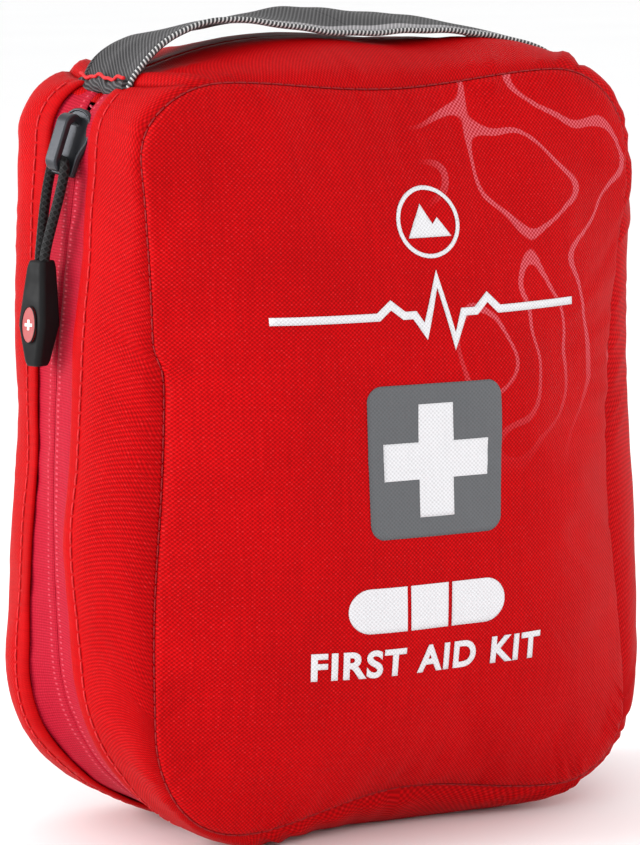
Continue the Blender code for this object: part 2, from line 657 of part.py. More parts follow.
def scissor_half(kind, mirror, steel, plastic):
    """One blade with its shank and its ring. The two halves cross at the rivet."""
    low = BLADE_Y[kind]
    outline = [(-1.2, -30), (2.2, -27), (4.0, -6), (3.4, 5), (-4.4, 23), (-8.2, 22.6), (-3.0, 6), (-2.4, 0)]
    points = [(PIVOT_X + mirror * u * MM, PIVOT_Z + v * MM) for u, v in outline]
    blade = extruded("scissor_blade_" + kind, points, low, low + BLADE, steel)
    turn = [2 * math.pi * i / 20 for i in range(20)]
    hole = [(PIVOT_X + 1.75 * MM * math.cos(a), PIVOT_Z + 1.75 * MM * math.sin(a)) for a in turn]
    cutter = extruded("rivet_hole_" + kind, hole, low - MM, low + 2 * MM, steel)
    cut_with(blade, cutter, "DIFFERENCE")
    ring = []
    for i in range(18):
        a = 2 * math.pi * i / 18
        u = -mirror * 8.8 * MM + 6.2 * MM * math.cos(a) - mirror * 2.2 * MM * math.sin(a)
        v = 34.9 * MM + 9.6 * MM * math.sin(a)
        ring.append((PIVOT_X + u, low + BLADE / 2, PIVOT_Z + v))
    tube("scissor_handle_" + kind, ring, 1.9 * MM, plastic, cyclic=True)


def build_scissors(steel, plastic):
    scissor_half("fixed", 1, steel, plastic)
    scissor_half("moving", -1, steel, plastic)
    head, shaft = 2.7 * MM, 1.45 * MM
    steps = 16
    low, high = BLADE_Y["moving"] - GAP, BLADE_Y["fixed"] + BLADE + GAP
    rings = ((shaft * 0.6, low - 0.8 * MM), (head, low - 0.5 * MM), (head, low), (shaft, low),
             (shaft, high), (head, high), (head, high + 0.6 * MM), (shaft * 0.6, high + 0.8 * MM))
    verts, faces = [], []
    for radius, y in rings:
        for i in range(steps):
            a = 2 * math.pi * i / steps
            verts.append((PIVOT_X + radius * math.cos(a), y, PIVOT_Z + radius * math.sin(a)))
    for r in range(len(rings) - 1):
        for i in range(steps):
            j = (i + 1) % steps
            faces.append([r * steps + i, r * steps + j, (r + 1) * steps + j, (r + 1) * steps + i])
    last = (len(rings) - 1) * steps
    faces += [list(range(steps)), [last + i for i in range(steps)]]
    make_object("scissor_rivet", verts, faces, steel)


def build_tools(steel, plastic):
    build_scissors(steel, plastic)
    arms = [(-4.2, 0), (-3.4, 0), (-3.2, 30), (-2.2, 62), (-0.8, 70), (0.8, 70), (2.2, 62), (3.2, 30),
            (3.4, 0), (4.2, 0), (4.4, 30), (3.6, 64), (1.6, 74), (-1.6, 74), (-3.6, 64), (-4.4, 30)]
    points = [(TWEEZERS_X + u * MM, 78 * MM + v * MM) for u, v in arms]
    extruded("tweezers", points, 3.2 * MM, 6.2 * MM, steel)
    for number, x in ((1, -40.0), (2, -32.0)):
        wire = []
        for u, v in ((0, 0), (0, 14), (0, 28), (0.6, 31), (2.4, 32.5), (4.2, 31), (4.8, 28), (4.4, 14),
                     (3.6, 2), (2.4, -1.2), (0.8, -1.4)):
            wire.append(((x + u) * MM, 6.4 * MM, (96 + v) * MM))
        tube("safety_pin_%d" % number, wire, 0.5 * MM, steel, cyclic=True, resolution=1)


def build_contents(mats):
    paper, film, cotton, tan, blue = (mats[k] for k in ("paper", "film", "cotton", "tan", "blue"))
    pouch_pack("dressing_large", (-42 * MM, -28.6 * MM, 22 * MM), (42 * MM, -22.6 * MM, 100 * MM), paper)
    pouch_pack("dressing_medium_1", (-41 * MM, -22.2 * MM, 24 * MM), (-1 * MM, -19.4 * MM, 90 * MM), paper)
    pouch_pack("dressing_medium_2", (1 * MM, -22.2 * MM, 24 * MM), (41 * MM, -19.4 * MM, 90 * MM), paper)
    pouch_pack("plaster_pack_1", (-40 * MM, -19.0 * MM, 26 * MM), (-12 * MM, -16.8 * MM, 84 * MM), tan)
    pouch_pack("plaster_pack_2", (-10 * MM, -19.0 * MM, 26 * MM), (16 * MM, -16.8 * MM, 84 * MM), tan)
    for number, x, y in ((1, -40, -16.4), (2, -4, -16.4), (3, 18, -18.9), (4, 18, -17.0)):
        low = (x * MM, y * MM, (28 + 6 * number) * MM)
        high = ((x + 22) * MM, (y + 1.6) * MM, (68 + 6 * number) * MM)
        pouch_pack("wipe_sachet_%d" % number, low, high, film, rim=1.5 * MM)

    depth, lift = 17.4 * MM, 30.6 * MM
    roll("crepe_bandage_large", -42 * MM, 14 * MM, depth, lift, 12.8 * MM, cotton)
    roll("crepe_bandage_small", -41 * MM, 5 * MM, depth, lift + 26 * MM, 12.2 * MM, cotton)
    roll("microporous_tape", 16 * MM, 41 * MM, depth, lift, 12.8 * MM, paper, bore=8.6 * MM)
    roll("tape_spool", 15.6 * MM, 41.4 * MM, depth, lift, 8.6 * MM - GAP, blue, bore=7.0 * MM)
    pouch_pack("gloves_pack", (8 * MM, 7 * MM, 44 * MM), (44 * MM, 28 * MM, 73 * MM), film)
    pouch_pack("triangular_bandage", (-44 * MM, 11.2 * MM, 78 * MM), (44 * MM, 25.6 * MM, 146 * MM), film)
    box("guidance_leaflet", (-42 * MM, 26.2 * MM, 74 * MM), (42 * MM, 27.4 * MM, 150 * MM), paper)
    pouch_pack("tablet_blister", (-30 * MM, 27.8 * MM, 80 * MM), (30 * MM, 30.8 * MM, 118 * MM), blue,
               rim=2 * MM)


# ---------------------------------------------------------------- joints

def build_joints():
    """One empty on each joint's axis, from the outermost pieces inwards."""
    hook_x, hook_z = hook()
    hang("pull_swing", (hook_x, 0.0, hook_z), ["pull_cord", "pull_grip", "pull_badge"])
    slider_centre = ZIP_SIDE_X - ZIP_SIDE_RADIUS
    hang("slider_travel", (-slider_centre, 0.0, ZIP_SIDE_Z - BASE_Z), ["zip_slider", "pull_swing"])
    hang("scissor_pivot", (PIVOT_X, 0.0, PIVOT_Z), ["scissor_blade_moving", "scissor_handle_moving"])
    hang("handle_swing", (0.0, 0.0, STRAP_END_Z - STRAP_THICK), ["handle_strap"])
    front_half = [obj.name for obj in bpy.data.objects
                  if obj.name.startswith(("front_", "dressing_", "plaster_", "wipe_"))]
    hang("front_open", (0.0, FRONT_Y - GAP, HINGE_Z), front_half)
    hang("top_fold", (0.0, REAR_Y + GAP, HINGE_Z),
         ["top_gusset", "handle_end_left", "handle_end_right", "handle_swing", "front_open"])


def centre_over_origin():
    """Move everything so that the middle of the whole box stands over the origin."""
    bpy.context.view_layer.update()
    solid = [obj for obj in bpy.data.objects if obj.type != "EMPTY" and not obj.hide_render]
    corners = [obj.matrix_world @ Vector(corner) for obj in solid for corner in obj.bound_box]
    for axis in range(2):
        values = [corner[axis] for corner in corners]
        middle = (max(values) + min(values)) / 2
        for obj in bpy.data.objects:
            if obj.parent is None:
                obj.location[axis] -= middle


def main():
    clear_scene()
    red = material("red_polyester", (0.62, 0.012, 0.018), 0.62)
    lining = material("red_lining", (0.45, 0.01, 0.02), 0.7)
    tape = material("crimson_tape", (0.56, 0.035, 0.09), 0.5)
    coil = material("crimson_coil", (0.5, 0.02, 0.06), 0.4)
    grey = material("grey_binding", (0.12, 0.12, 0.13), 0.8)
    webbing = material("grey_webbing", (0.075, 0.075, 0.08), 0.8)
    elastic = material("black_elastic", (0.02, 0.02, 0.022), 0.85)
    mesh_mat = material("black_mesh", (0.03, 0.03, 0.032), 0.8)
    gunmetal = material("gunmetal", (0.035, 0.04, 0.05), 0.35, 0.8)
    black = material("black_plastic", (0.012, 0.013, 0.014), 0.6)
    badge = material("red_badge", (0.6, 0.03, 0.02), 0.4)
    steel = material("steel", (0.6, 0.6, 0.62), 0.25, 1.0)
    handles = material("blue_plastic", (0.02, 0.09, 0.3), 0.4)
    packs = {
        "paper": material("white_paper", (0.8, 0.8, 0.78), 0.8),
        "film": material("clear_film", (0.7, 0.75, 0.8), 0.3),
        "cotton": material("crepe_cotton", (0.75, 0.68, 0.55), 0.95),
        "tan": material("tan_plaster", (0.65, 0.42, 0.26), 0.75),
        "blue": material("blue_card", (0.1, 0.25, 0.5), 0.6),
    }
    build_case(red, lining, grey)
    build_zip(tape, coil, grey)
    build_slider(gunmetal)
    build_pull(black, badge)
    build_handle(webbing)
    build_pockets(mesh_mat, red, grey, elastic)
    build_tools(steel, handles)
    build_contents(packs)
    build_joints()
    centre_over_origin()


main()
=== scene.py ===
"""Looks of the soft first aid kit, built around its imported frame.

Lengths below are millimetres in the case's own frame, which is the part's before it was centred:
x to the right of someone who faces the front panel, y from the front to the rear, z up.
"""

import json
import math

import bmesh
import bpy
import numpy as np
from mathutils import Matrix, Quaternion, Vector
from mathutils.bvhtree import BVHTree

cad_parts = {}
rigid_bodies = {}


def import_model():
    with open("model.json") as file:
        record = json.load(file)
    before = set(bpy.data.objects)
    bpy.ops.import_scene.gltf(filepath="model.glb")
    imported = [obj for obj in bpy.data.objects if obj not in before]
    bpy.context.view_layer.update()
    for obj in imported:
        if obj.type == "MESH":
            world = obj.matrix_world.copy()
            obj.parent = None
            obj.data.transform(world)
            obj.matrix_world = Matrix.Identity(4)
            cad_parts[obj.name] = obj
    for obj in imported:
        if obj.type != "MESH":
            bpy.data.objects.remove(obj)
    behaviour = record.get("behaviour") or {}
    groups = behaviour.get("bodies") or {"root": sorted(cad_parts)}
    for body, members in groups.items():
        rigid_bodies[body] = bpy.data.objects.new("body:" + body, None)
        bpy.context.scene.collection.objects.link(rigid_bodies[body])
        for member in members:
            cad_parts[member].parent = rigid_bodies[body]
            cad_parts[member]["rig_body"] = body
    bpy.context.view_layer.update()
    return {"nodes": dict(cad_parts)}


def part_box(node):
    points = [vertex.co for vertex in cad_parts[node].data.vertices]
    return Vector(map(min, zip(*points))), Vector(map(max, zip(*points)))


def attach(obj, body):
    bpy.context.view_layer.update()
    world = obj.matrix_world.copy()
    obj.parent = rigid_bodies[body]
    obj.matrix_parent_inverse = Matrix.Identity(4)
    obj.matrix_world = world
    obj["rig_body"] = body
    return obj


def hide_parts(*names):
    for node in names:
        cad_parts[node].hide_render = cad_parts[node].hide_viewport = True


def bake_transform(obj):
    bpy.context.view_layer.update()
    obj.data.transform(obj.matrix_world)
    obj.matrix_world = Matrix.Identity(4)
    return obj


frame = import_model()

MM = 0.001
FULL_TURN, QUARTER_TURN = 2 * math.pi, math.pi / 2

# ---------------------------------------------------------------- shape of the case

FRONT_Y, REAR_Y = -29.0, 34.0            # planes of the two seams
SEAM_HALF_WIDTH, REAR_HALF_WIDTH = 59.3, 61.5
SEAM_BOTTOM, SEAM_TOP = 6.2, 171.6
SEAM_LOW_RADIUS, SEAM_HIGH_RADIUS = 25.0, 20.0
SIDE_BOW, TOP_BOW, BOTTOM_BOW = 3.0, 2.9, 4.2
ZIP_BOTTOM_RUN, ZIP_LOW_RADIUS = 22.5, 48.0
ZIP_SIDE_RADIUS, ZIP_SIDE_X, ZIP_SIDE_Z = 450.0, 70.6, 68.0
ZIP_SIDE_START, ZIP_SIDE_END = math.radians(-2.0), math.radians(11.5)
ZIP_HIGH_RADIUS, ZIP_HIGH_END = 14.0, math.radians(75.0)
TOP_CROWN_Z = 176.0
BULGE_POWER = 2.6
BASE_Z = 1.2
FRONT_CROWN, REAR_CROWN, CROWN_POWER = 19.8, 5.0, 2.2
CROWN_LOW_POWER, CROWN_HIGH_POWER = 4.4, 3.0   # the panel hangs nearly upright over the packs
CLOTH = 0.9
GUSSET_EDGE = 8.5                        # folded edge of a gusset, from the zip's middle
SLIDER_ANGLE = math.radians(10.9)
SLIDER_LEAN = math.radians(9.0)

panel_low, panel_high = (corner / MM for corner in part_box("front_panel"))
SHIFT = np.array([(panel_low.x + panel_high.x) / 2, panel_low.y - (FRONT_Y - FRONT_CROWN), 0.0])

# Points along half of a loop: bottom, lower corner, side, upper corner and top.
BOTTOM_STEPS, LOW_STEPS, SIDE_STEPS, HIGH_STEPS, TOP_STEPS = 16, 34, 56, 16, 28
CROSS_SEAM = BOTTOM_STEPS + LOW_STEPS + SIDE_STEPS + HIGH_STEPS // 2 + 5
HALF_STEPS = BOTTOM_STEPS + LOW_STEPS + SIDE_STEPS + HIGH_STEPS + TOP_STEPS


def arc(cx, cz, radius, start, end, steps):
    turn = [start + (end - start) * i / steps for i in range(steps)]
    return [(cx + radius * math.cos(a), cz + radius * math.sin(a)) for a in turn]


def seam_half(half_width, low_radius=SEAM_LOW_RADIUS, high_radius=SEAM_HIGH_RADIUS):
    """Right half of a panel seam, from bottom middle to top middle."""
    run = half_width - low_radius
    steps = [i / BOTTOM_STEPS for i in range(BOTTOM_STEPS)]
    points = [(run * t, SEAM_BOTTOM + BOTTOM_BOW * math.cos(QUARTER_TURN * t) ** 2) for t in steps]
    low_z, high_z = SEAM_BOTTOM + low_radius, SEAM_TOP - high_radius
    points += arc(run, low_z, low_radius, -QUARTER_TURN, 0, LOW_STEPS)
    steps = [i / SIDE_STEPS for i in range(SIDE_STEPS)]
    points += [(half_width - SIDE_BOW * math.sin(math.pi * t) ** 2, low_z + (high_z - low_z) * t)
               for t in steps]
    top_run = half_width - high_radius
    points += arc(top_run, high_z, high_radius, 0, QUARTER_TURN, HIGH_STEPS)
    steps = [i / TOP_STEPS for i in range(TOP_STEPS + 1)]
    points += [(top_run * (1 - t), SEAM_TOP - TOP_BOW * math.sin(QUARTER_TURN * t) ** 2) for t in steps]
    return points


def zip_half():
    """Right half of the zip line, from bottom middle to top middle."""
    points = [(ZIP_BOTTOM_RUN * i / BOTTOM_STEPS, 0.0) for i in range(BOTTOM_STEPS)]
    points += arc(ZIP_BOTTOM_RUN, ZIP_LOW_RADIUS, ZIP_LOW_RADIUS, -QUARTER_TURN, -0.04, LOW_STEPS)
    far = ZIP_SIDE_X - ZIP_SIDE_RADIUS
    points += arc(far, ZIP_SIDE_Z, ZIP_SIDE_RADIUS, ZIP_SIDE_START, ZIP_SIDE_END, SIDE_STEPS)
    inner = ZIP_SIDE_RADIUS - ZIP_HIGH_RADIUS
    corner = (far + inner * math.cos(ZIP_SIDE_END), ZIP_SIDE_Z + inner * math.sin(ZIP_SIDE_END))
    points += arc(*corner, ZIP_HIGH_RADIUS, ZIP_SIDE_END, ZIP_HIGH_END, HIGH_STEPS)
    end_x = corner[0] + ZIP_HIGH_RADIUS * math.cos(ZIP_HIGH_END)
    end_z = corner[1] + ZIP_HIGH_RADIUS * math.sin(ZIP_HIGH_END)
    for i in range(TOP_STEPS + 1):
        x = end_x * (1 - i / TOP_STEPS)
        points.append((x, TOP_CROWN_Z - (TOP_CROWN_Z - end_z) * (x / end_x) ** 2))
    return points


def full_loop(half, other=None):
    left = [(-x, z) for x, z in (other or half)[-2:0:-1]]
    loop = np.array(half + left)
    for _ in range(3):                   # eases the joins between the stretches
        loop = (np.roll(loop, 1, 0) + 2 * loop + np.roll(loop, -1, 0)) / 4
    return loop


def hump(value, middle, width):
    """1 at the middle, falling away smoothly on both sides of it."""
    return np.exp(-((value - middle) / width) ** 2)


SHARE_REACH = 30.0                       # from here outwards, a side's unevenness is full


def uneven_seam():
    """The front panel's seam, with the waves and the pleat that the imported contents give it."""
    loop = full_loop(seam_half(SEAM_HALF_WIDTH + 0.4, 19.0, 18.0), seam_half(SEAM_HALF_WIDTH))
    x, z = loop.T                        # views, so that changes to them reach the loop
    height = z.copy()
    x += 1.8 * hump(height, 146.0, 17.0) * np.clip(x / SHARE_REACH, 0.0, 1.0)
    left_share = np.clip(-x / SHARE_REACH, 0.0, 1.0)
    inset = 1.2 * hump(height, 92.0, 42.0) + 0.8 * hump(height, 62.0, 30.0)
    x -= inset * np.clip(x / SHARE_REACH, 0.0, 1.0)
    shift = 1.1 + 1.3 * hump(height, 62.0, 26.0) + 2.4 * hump(height, 8.0, 15.0)
    shift += 1.8 * hump(height, 162.0, 10.0)
    shift += np.tanh((height - 111.0) / 2.0) * hump(height, 111.0, 14.0)     # a pleat in the seam
    x -= shift * left_share
    z -= 2.0 * hump(height, 6.0, 9.0) * left_share
    return loop


FRONT_LOOP = uneven_seam()
REAR_LOOP = full_loop(seam_half(REAR_HALF_WIDTH))
ZIP_LOOP = full_loop(zip_half())
LOOP_COUNT = 2 * HALF_STEPS
WALL = list(range(LOOP_COUNT - CROSS_SEAM, LOOP_COUNT)) + list(range(CROSS_SEAM + 1))
TOP = list(range(CROSS_SEAM, LOOP_COUNT - CROSS_SEAM + 1))


def loop_normals(loop):
    tangent = np.roll(loop, -1, 0) - np.roll(loop, 1, 0)
    normal = np.stack([tangent[:, 1], -tangent[:, 0]], 1)
    return normal / np.linalg.norm(normal, axis=1)[:, None]


def arc_length(loop):
    """Distance along a loop at each of its points."""
    steps = np.linalg.norm(np.roll(loop, -1, 0) - loop, axis=1)
    return np.concatenate([[0.0], np.cumsum(steps)[:-1]])


ZIP_RUN = arc_length(ZIP_LOOP)


def ground(z):
    """The lowest fabric lies flat on the surface under it."""
    return np.maximum(z - BASE_Z, 0.0)


def swell(points, size, seed, waves=9):
    """Smooth unevenness that depends on place alone, so that pieces that meet stay joined."""
    rng = np.random.default_rng(seed)
    way = rng.normal(size=(waves, 3))
    way /= np.linalg.norm(way, axis=1)[:, None]
    pace = FULL_TURN / (size * rng.uniform(0.7, 1.5, waves))
    phase = rng.uniform(0, FULL_TURN, waves)
    return np.sin(points @ (way * pace[:, None]).T + phase).sum(-1) / math.sqrt(waves)


def pucker(run, seed, wavelength=7.2):
    """Gathers along a seam: height from -1 to 1 at each distance along it, strong here and weak there."""
    rng = np.random.default_rng(seed)
    total = 540.0
    wander = sum(0.45 / k * np.sin(FULL_TURN * k * 3 * run / total + rng.uniform(0, 6.28))
                 for k in (1, 2, 3, 5))
    fine = sum(0.3 * np.sin(FULL_TURN * k * run / total + rng.uniform(0, 6.28)) for k in (7, 11, 13))
    strength = 0.45 + 0.55 * np.clip(wander + fine, -0.6, 1.0)
    phase = run / wavelength + 0.55 * np.sin(FULL_TURN * run / 47.0 + seed)
    phase = phase + 0.3 * np.sin(FULL_TURN * run / 19.0)
    return strength * np.sin(FULL_TURN * phase)


SEAM_SINK, SEAM_SOFT = 1.8, 1.7         # depth of the groove at a seam, and how far it reaches


def seam_groove(distance):
    return np.exp(-(distance / SEAM_SOFT) ** 1.15)


# Creases of the front panel: where each starts and ends (x, z), its half-width and its height.
CREASES = (
    ((59, 131), (45, 123), 1.7, -1.0), ((59, 125), (43, 119), 2.0, 0.9), ((58, 117), (46, 113), 1.6, -0.9),
    ((58, 108), (49, 106), 1.5, -0.8), ((58, 98), (46, 99), 1.9, 0.7), ((57, 92), (50, 94), 1.3, -0.7),
    ((58, 82), (51, 80), 1.6, 0.6), ((57, 66), (51, 68), 1.4, -0.6), ((58, 140), (50, 141), 1.8, -0.5),
    ((18, 170), (24, 158), 1.8, -0.9), ((21, 171), (31, 160), 2.2, 0.8),
    ((-22, 170), (-18, 160), 1.8, -0.6), ((-30, 160), (-34, 118), 4.5, 0.9),
    ((-46, 158), (-47, 104), 3.2, -0.9), ((-52, 112), (-42, 100), 2.0, -0.6),
    ((-57, 60), (-47, 52), 1.9, -0.6), ((-57, 52), (-49, 43), 1.8, 0.6), ((-52, 24), (-42, 32), 1.8, -0.6),
    ((-6, 11), (-2, 19), 1.8, -0.8), ((6, 12), (9, 22), 2.2, 0.7), ((18, 10), (20, 17), 1.5, -0.6),
    ((50, 20), (42, 28), 1.9, -0.6), ((44, 150), (20, 163), 4.0, -0.7), ((12, 158), (-8, 164), 3.5, -0.5),
)


def crease_height(x, z):
    total = 0.0
    for start, end, width, height in CREASES:
        start, along = np.array(start, float), np.array(end, float) - start
        reach = ((x - start[0]) * along[0] + (z - start[1]) * along[1]) / (along @ along)
        spot = np.clip(reach, 0.0, 1.0)
        off = np.hypot(x - start[0] - spot * along[0], z - start[1] - spot * along[1])
        total = total + height * (1 - 0.75 * spot) * np.exp(-(off / width) ** 2)
    return total


GATHER_HEIGHT, GATHER_REACH, CALM_REACH = 1.25, 5.5, 6.0     # gathers by a seam, and calmer cloth further in


def unevenness(points, seam_distance, run, side):
    """How far the cloth stands out of its even shape."""
    near = np.minimum(seam_distance / 1.8, 1.0) * np.exp(-seam_distance / GATHER_REACH)
    calm = 1 - np.exp(-seam_distance / CALM_REACH)
    gathers = GATHER_HEIGHT * pucker(run, 3 if side < 0 else 8) * near
    waves = 0.7 * swell(points, 46, 11) + 0.3 * swell(points, 19, 12) + 0.05 * swell(points, 8, 13)
    return gathers + calm * waves


def fullness(side):
    """How squarely each place along a gusset bulges: the rear one is packed fuller, and most so low down."""
    low = np.clip((135.0 - ZIP_LOOP[:, 1]) / 80.0, 0.0, 1.0)
    return np.full(LOOP_COUNT, BULGE_POWER) if side < 0 else BULGE_POWER + 0.8 + 1.9 * low


def belly(side):
    """How far the contents push a gusset out beyond its even shape, by height on the left and right."""
    x, z = ZIP_LOOP.T
    left = np.clip(-x / 40.0, 0.0, 1.0)
    right = np.clip(x / 40.0, 0.0, 1.0)
    if side > 0:
        low = 1.8 * hump(z, 34.0, 34.0) + 3.2 * hump(z, 24.0, 22.0)
        low = low * np.clip((z + 1.0) / 14.0, 0.0, 1.0)
        high = 3.2 * hump(z, 150.0, 30.0) + 1.4 * hump(z, 166.0, 9.0)
        return left * (1.2 + low + high) + right * 1.2
    high = 3.4 * hump(z, 143.0, 24.0) - 0.3 * hump(z, 75.0, 30.0)
    return right * (0.45 + high + 3.0 * hump(z, 14.0, 16.0)) + left * 0.45


def top_rise():
    """How far the top stands up under the handle."""
    x, z = ZIP_LOOP.T
    rise = 3.2 * hump(x, -27.0, 32.0) + 3.4 * hump(x, 40.0, 22.0)
    return rise * np.clip((z - 150.0) / 16.0, 0.0, 1.0)


def wall_point_grid(depths, indices, side, sink=0.0):
    """Points of a gusset's outer face: one row for each depth. sink moves the whole face inwards."""
    seam, seam_y = (FRONT_LOOP, FRONT_Y) if side < 0 else (REAR_LOOP, REAR_Y)
    rows, normals_out = [], []
    for y in depths:
        out = 1 - abs(y / seam_y) ** fullness(side)[:, None]
        loop = seam * (1 - out) + ZIP_LOOP * out
        normals = loop_normals(loop)
        distance = abs(seam_y - y)
        groove = seam_groove(distance) * SEAM_SINK
        base = np.stack([loop[:, 0], np.full(LOOP_COUNT, y), loop[:, 1]], 1)
        lift = unevenness(base, np.full(LOOP_COUNT, distance), ZIP_RUN, side)
        lift = lift * min(max((abs(y) - 1.0) / 8.0, 0.15), 1.0) - groove - sink
        lift = lift + belly(side) * np.abs(normals[:, 0]) * math.sin(math.pi * abs(y / seam_y)) ** 1.5
        if side > 0:
            corner = np.where(loop[:, 0] < -30, 2.0, 0.0) * hump(loop[:, 1], 166.0, 8.0)
            lift = lift + corner * hump(y, 24.0, 8.0)
        lift = lift + top_rise() * math.sin(math.pi * (y - FRONT_Y) / (REAR_Y - FRONT_Y)) ** 0.8
        x = loop[:, 0] + normals[:, 0] * lift
        z = loop[:, 1] + normals[:, 1] * lift
        inward = -side * groove * 0.8
        rows.append(np.stack([x, np.full(LOOP_COUNT, y + inward), ground(z)], 1)[indices])
        normals_out.append(normals[indices])
    return np.array(rows), np.array(normals_out)


def loop_centre(loop):
    return np.array([0.0, (loop[:, 1].max() + loop[:, 1].min()) / 2])


PANEL_RINGS = np.concatenate([1 - np.array([0, 0.5, 1.0, 1.6, 2.3, 3.1, 4.1, 5.3, 6.8, 8.6, 10.8]) / 62.0,
                              np.linspace(0.80, 0.04, 22)])


def panel_rings(side, rings=PANEL_RINGS, sink=0.0):
    """Rings of points of a panel's outer face, from its seam inwards, and its middle point."""
    front, rear = (FRONT_LOOP, FRONT_Y, FRONT_CROWN), (REAR_LOOP, REAR_Y, REAR_CROWN)
    loop, seam_y, height = front if side < 0 else rear
    centre, normals = loop_centre(loop), loop_normals(loop)
    half_width, half_height = loop[:, 0].max(), centre[1] - loop[:, 1].min()
    rows = []
    for ring in list(rings) + [0.0]:
        flat = centre + (loop - centre) * ring
        distance = np.linalg.norm(loop - flat, axis=1)
        across = 1 - np.abs(flat[:, 0] / half_width) ** CROWN_POWER
        level = (flat[:, 1] - centre[1]) / half_height
        upright = 1 - np.abs(level) ** np.where(level < 0, CROWN_LOW_POWER, CROWN_HIGH_POWER)
        crown = height * across * upright * (1 - ring ** 10)
        groove = seam_groove(distance) * SEAM_SINK
        base = np.stack([flat[:, 0], np.full(LOOP_COUNT, seam_y), flat[:, 1]], 1)
        lift = crown + unevenness(base, distance, ZIP_RUN, side) * (1 - ring ** 40) - 0.8 * groove - sink
        if side < 0:
            lift = lift + crease_height(flat[:, 0], flat[:, 1]) * np.minimum(distance / 2.0, 1.0)
        shrink = normals * groove[:, None]
        rows.append(np.stack([flat[:, 0] - shrink[:, 0], seam_y + side * lift,
                              ground(flat[:, 1] - shrink[:, 1])], 1))
    return np.array(rows[:-1]), rows[-1].mean(0)


# ---------------------------------------------------------------- meshes

def thicken(piece, thickness, offset=0.0):
    solid = piece.modifiers.new("Thickness", "SOLIDIFY")
    solid.thickness = thickness * MM
    solid.offset = offset


def make_piece(name, points, faces, mat, uv=None, thickness=0.0, smooth=True):
    """A mesh piece from points in the case's frame. uv is in millimetres, one pair for each point."""
    mesh = bpy.data.meshes.new(name)
    world = (np.asarray(points, float) + SHIFT) * MM
    mesh.from_pydata(world.tolist(), [], faces)
    if uv is not None:
        layer = mesh.uv_layers.new(name="UVMap")
        index = np.zeros(len(mesh.loops), np.int32)
        mesh.loops.foreach_get("vertex_index", index)
        layer.data.foreach_set("uv", np.asarray(uv, np.float32)[index].ravel())
    mesh.materials.append(mat)
    if smooth:
        mesh.shade_smooth()
    piece = bpy.data.objects.new(name, mesh)
    bpy.context.scene.collection.objects.link(piece)
    if thickness:
        thicken(piece, thickness, -1.0)
    return piece


def grid_faces(rows, cols, wrap=False, flip=False):
    faces = []
    for r in range(rows - 1):
        for c in range(cols if wrap else cols - 1):
            d = (c + 1) % cols
            quad = [r * cols + c, r * cols + d, (r + 1) * cols + d, (r + 1) * cols + c]
            faces.append(quad[::-1] if flip else quad)
    return faces


def settle(piece, body, slot, *nodes):
    """Rides the piece on its body, if it has one, and hides the nodes that it stands for; slot is not used.
    """
    if body is not None:
        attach(piece, body)
    if nodes:
        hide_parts(*nodes)
    return piece


def fold_with_top(piece, side, slot, *nodes):
    """Bakes the piece's placement into its mesh, and hides the nodes that it stands for."""
    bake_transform(piece)
    return settle(piece, None, slot, *nodes)


# ---------------------------------------------------------------- materials

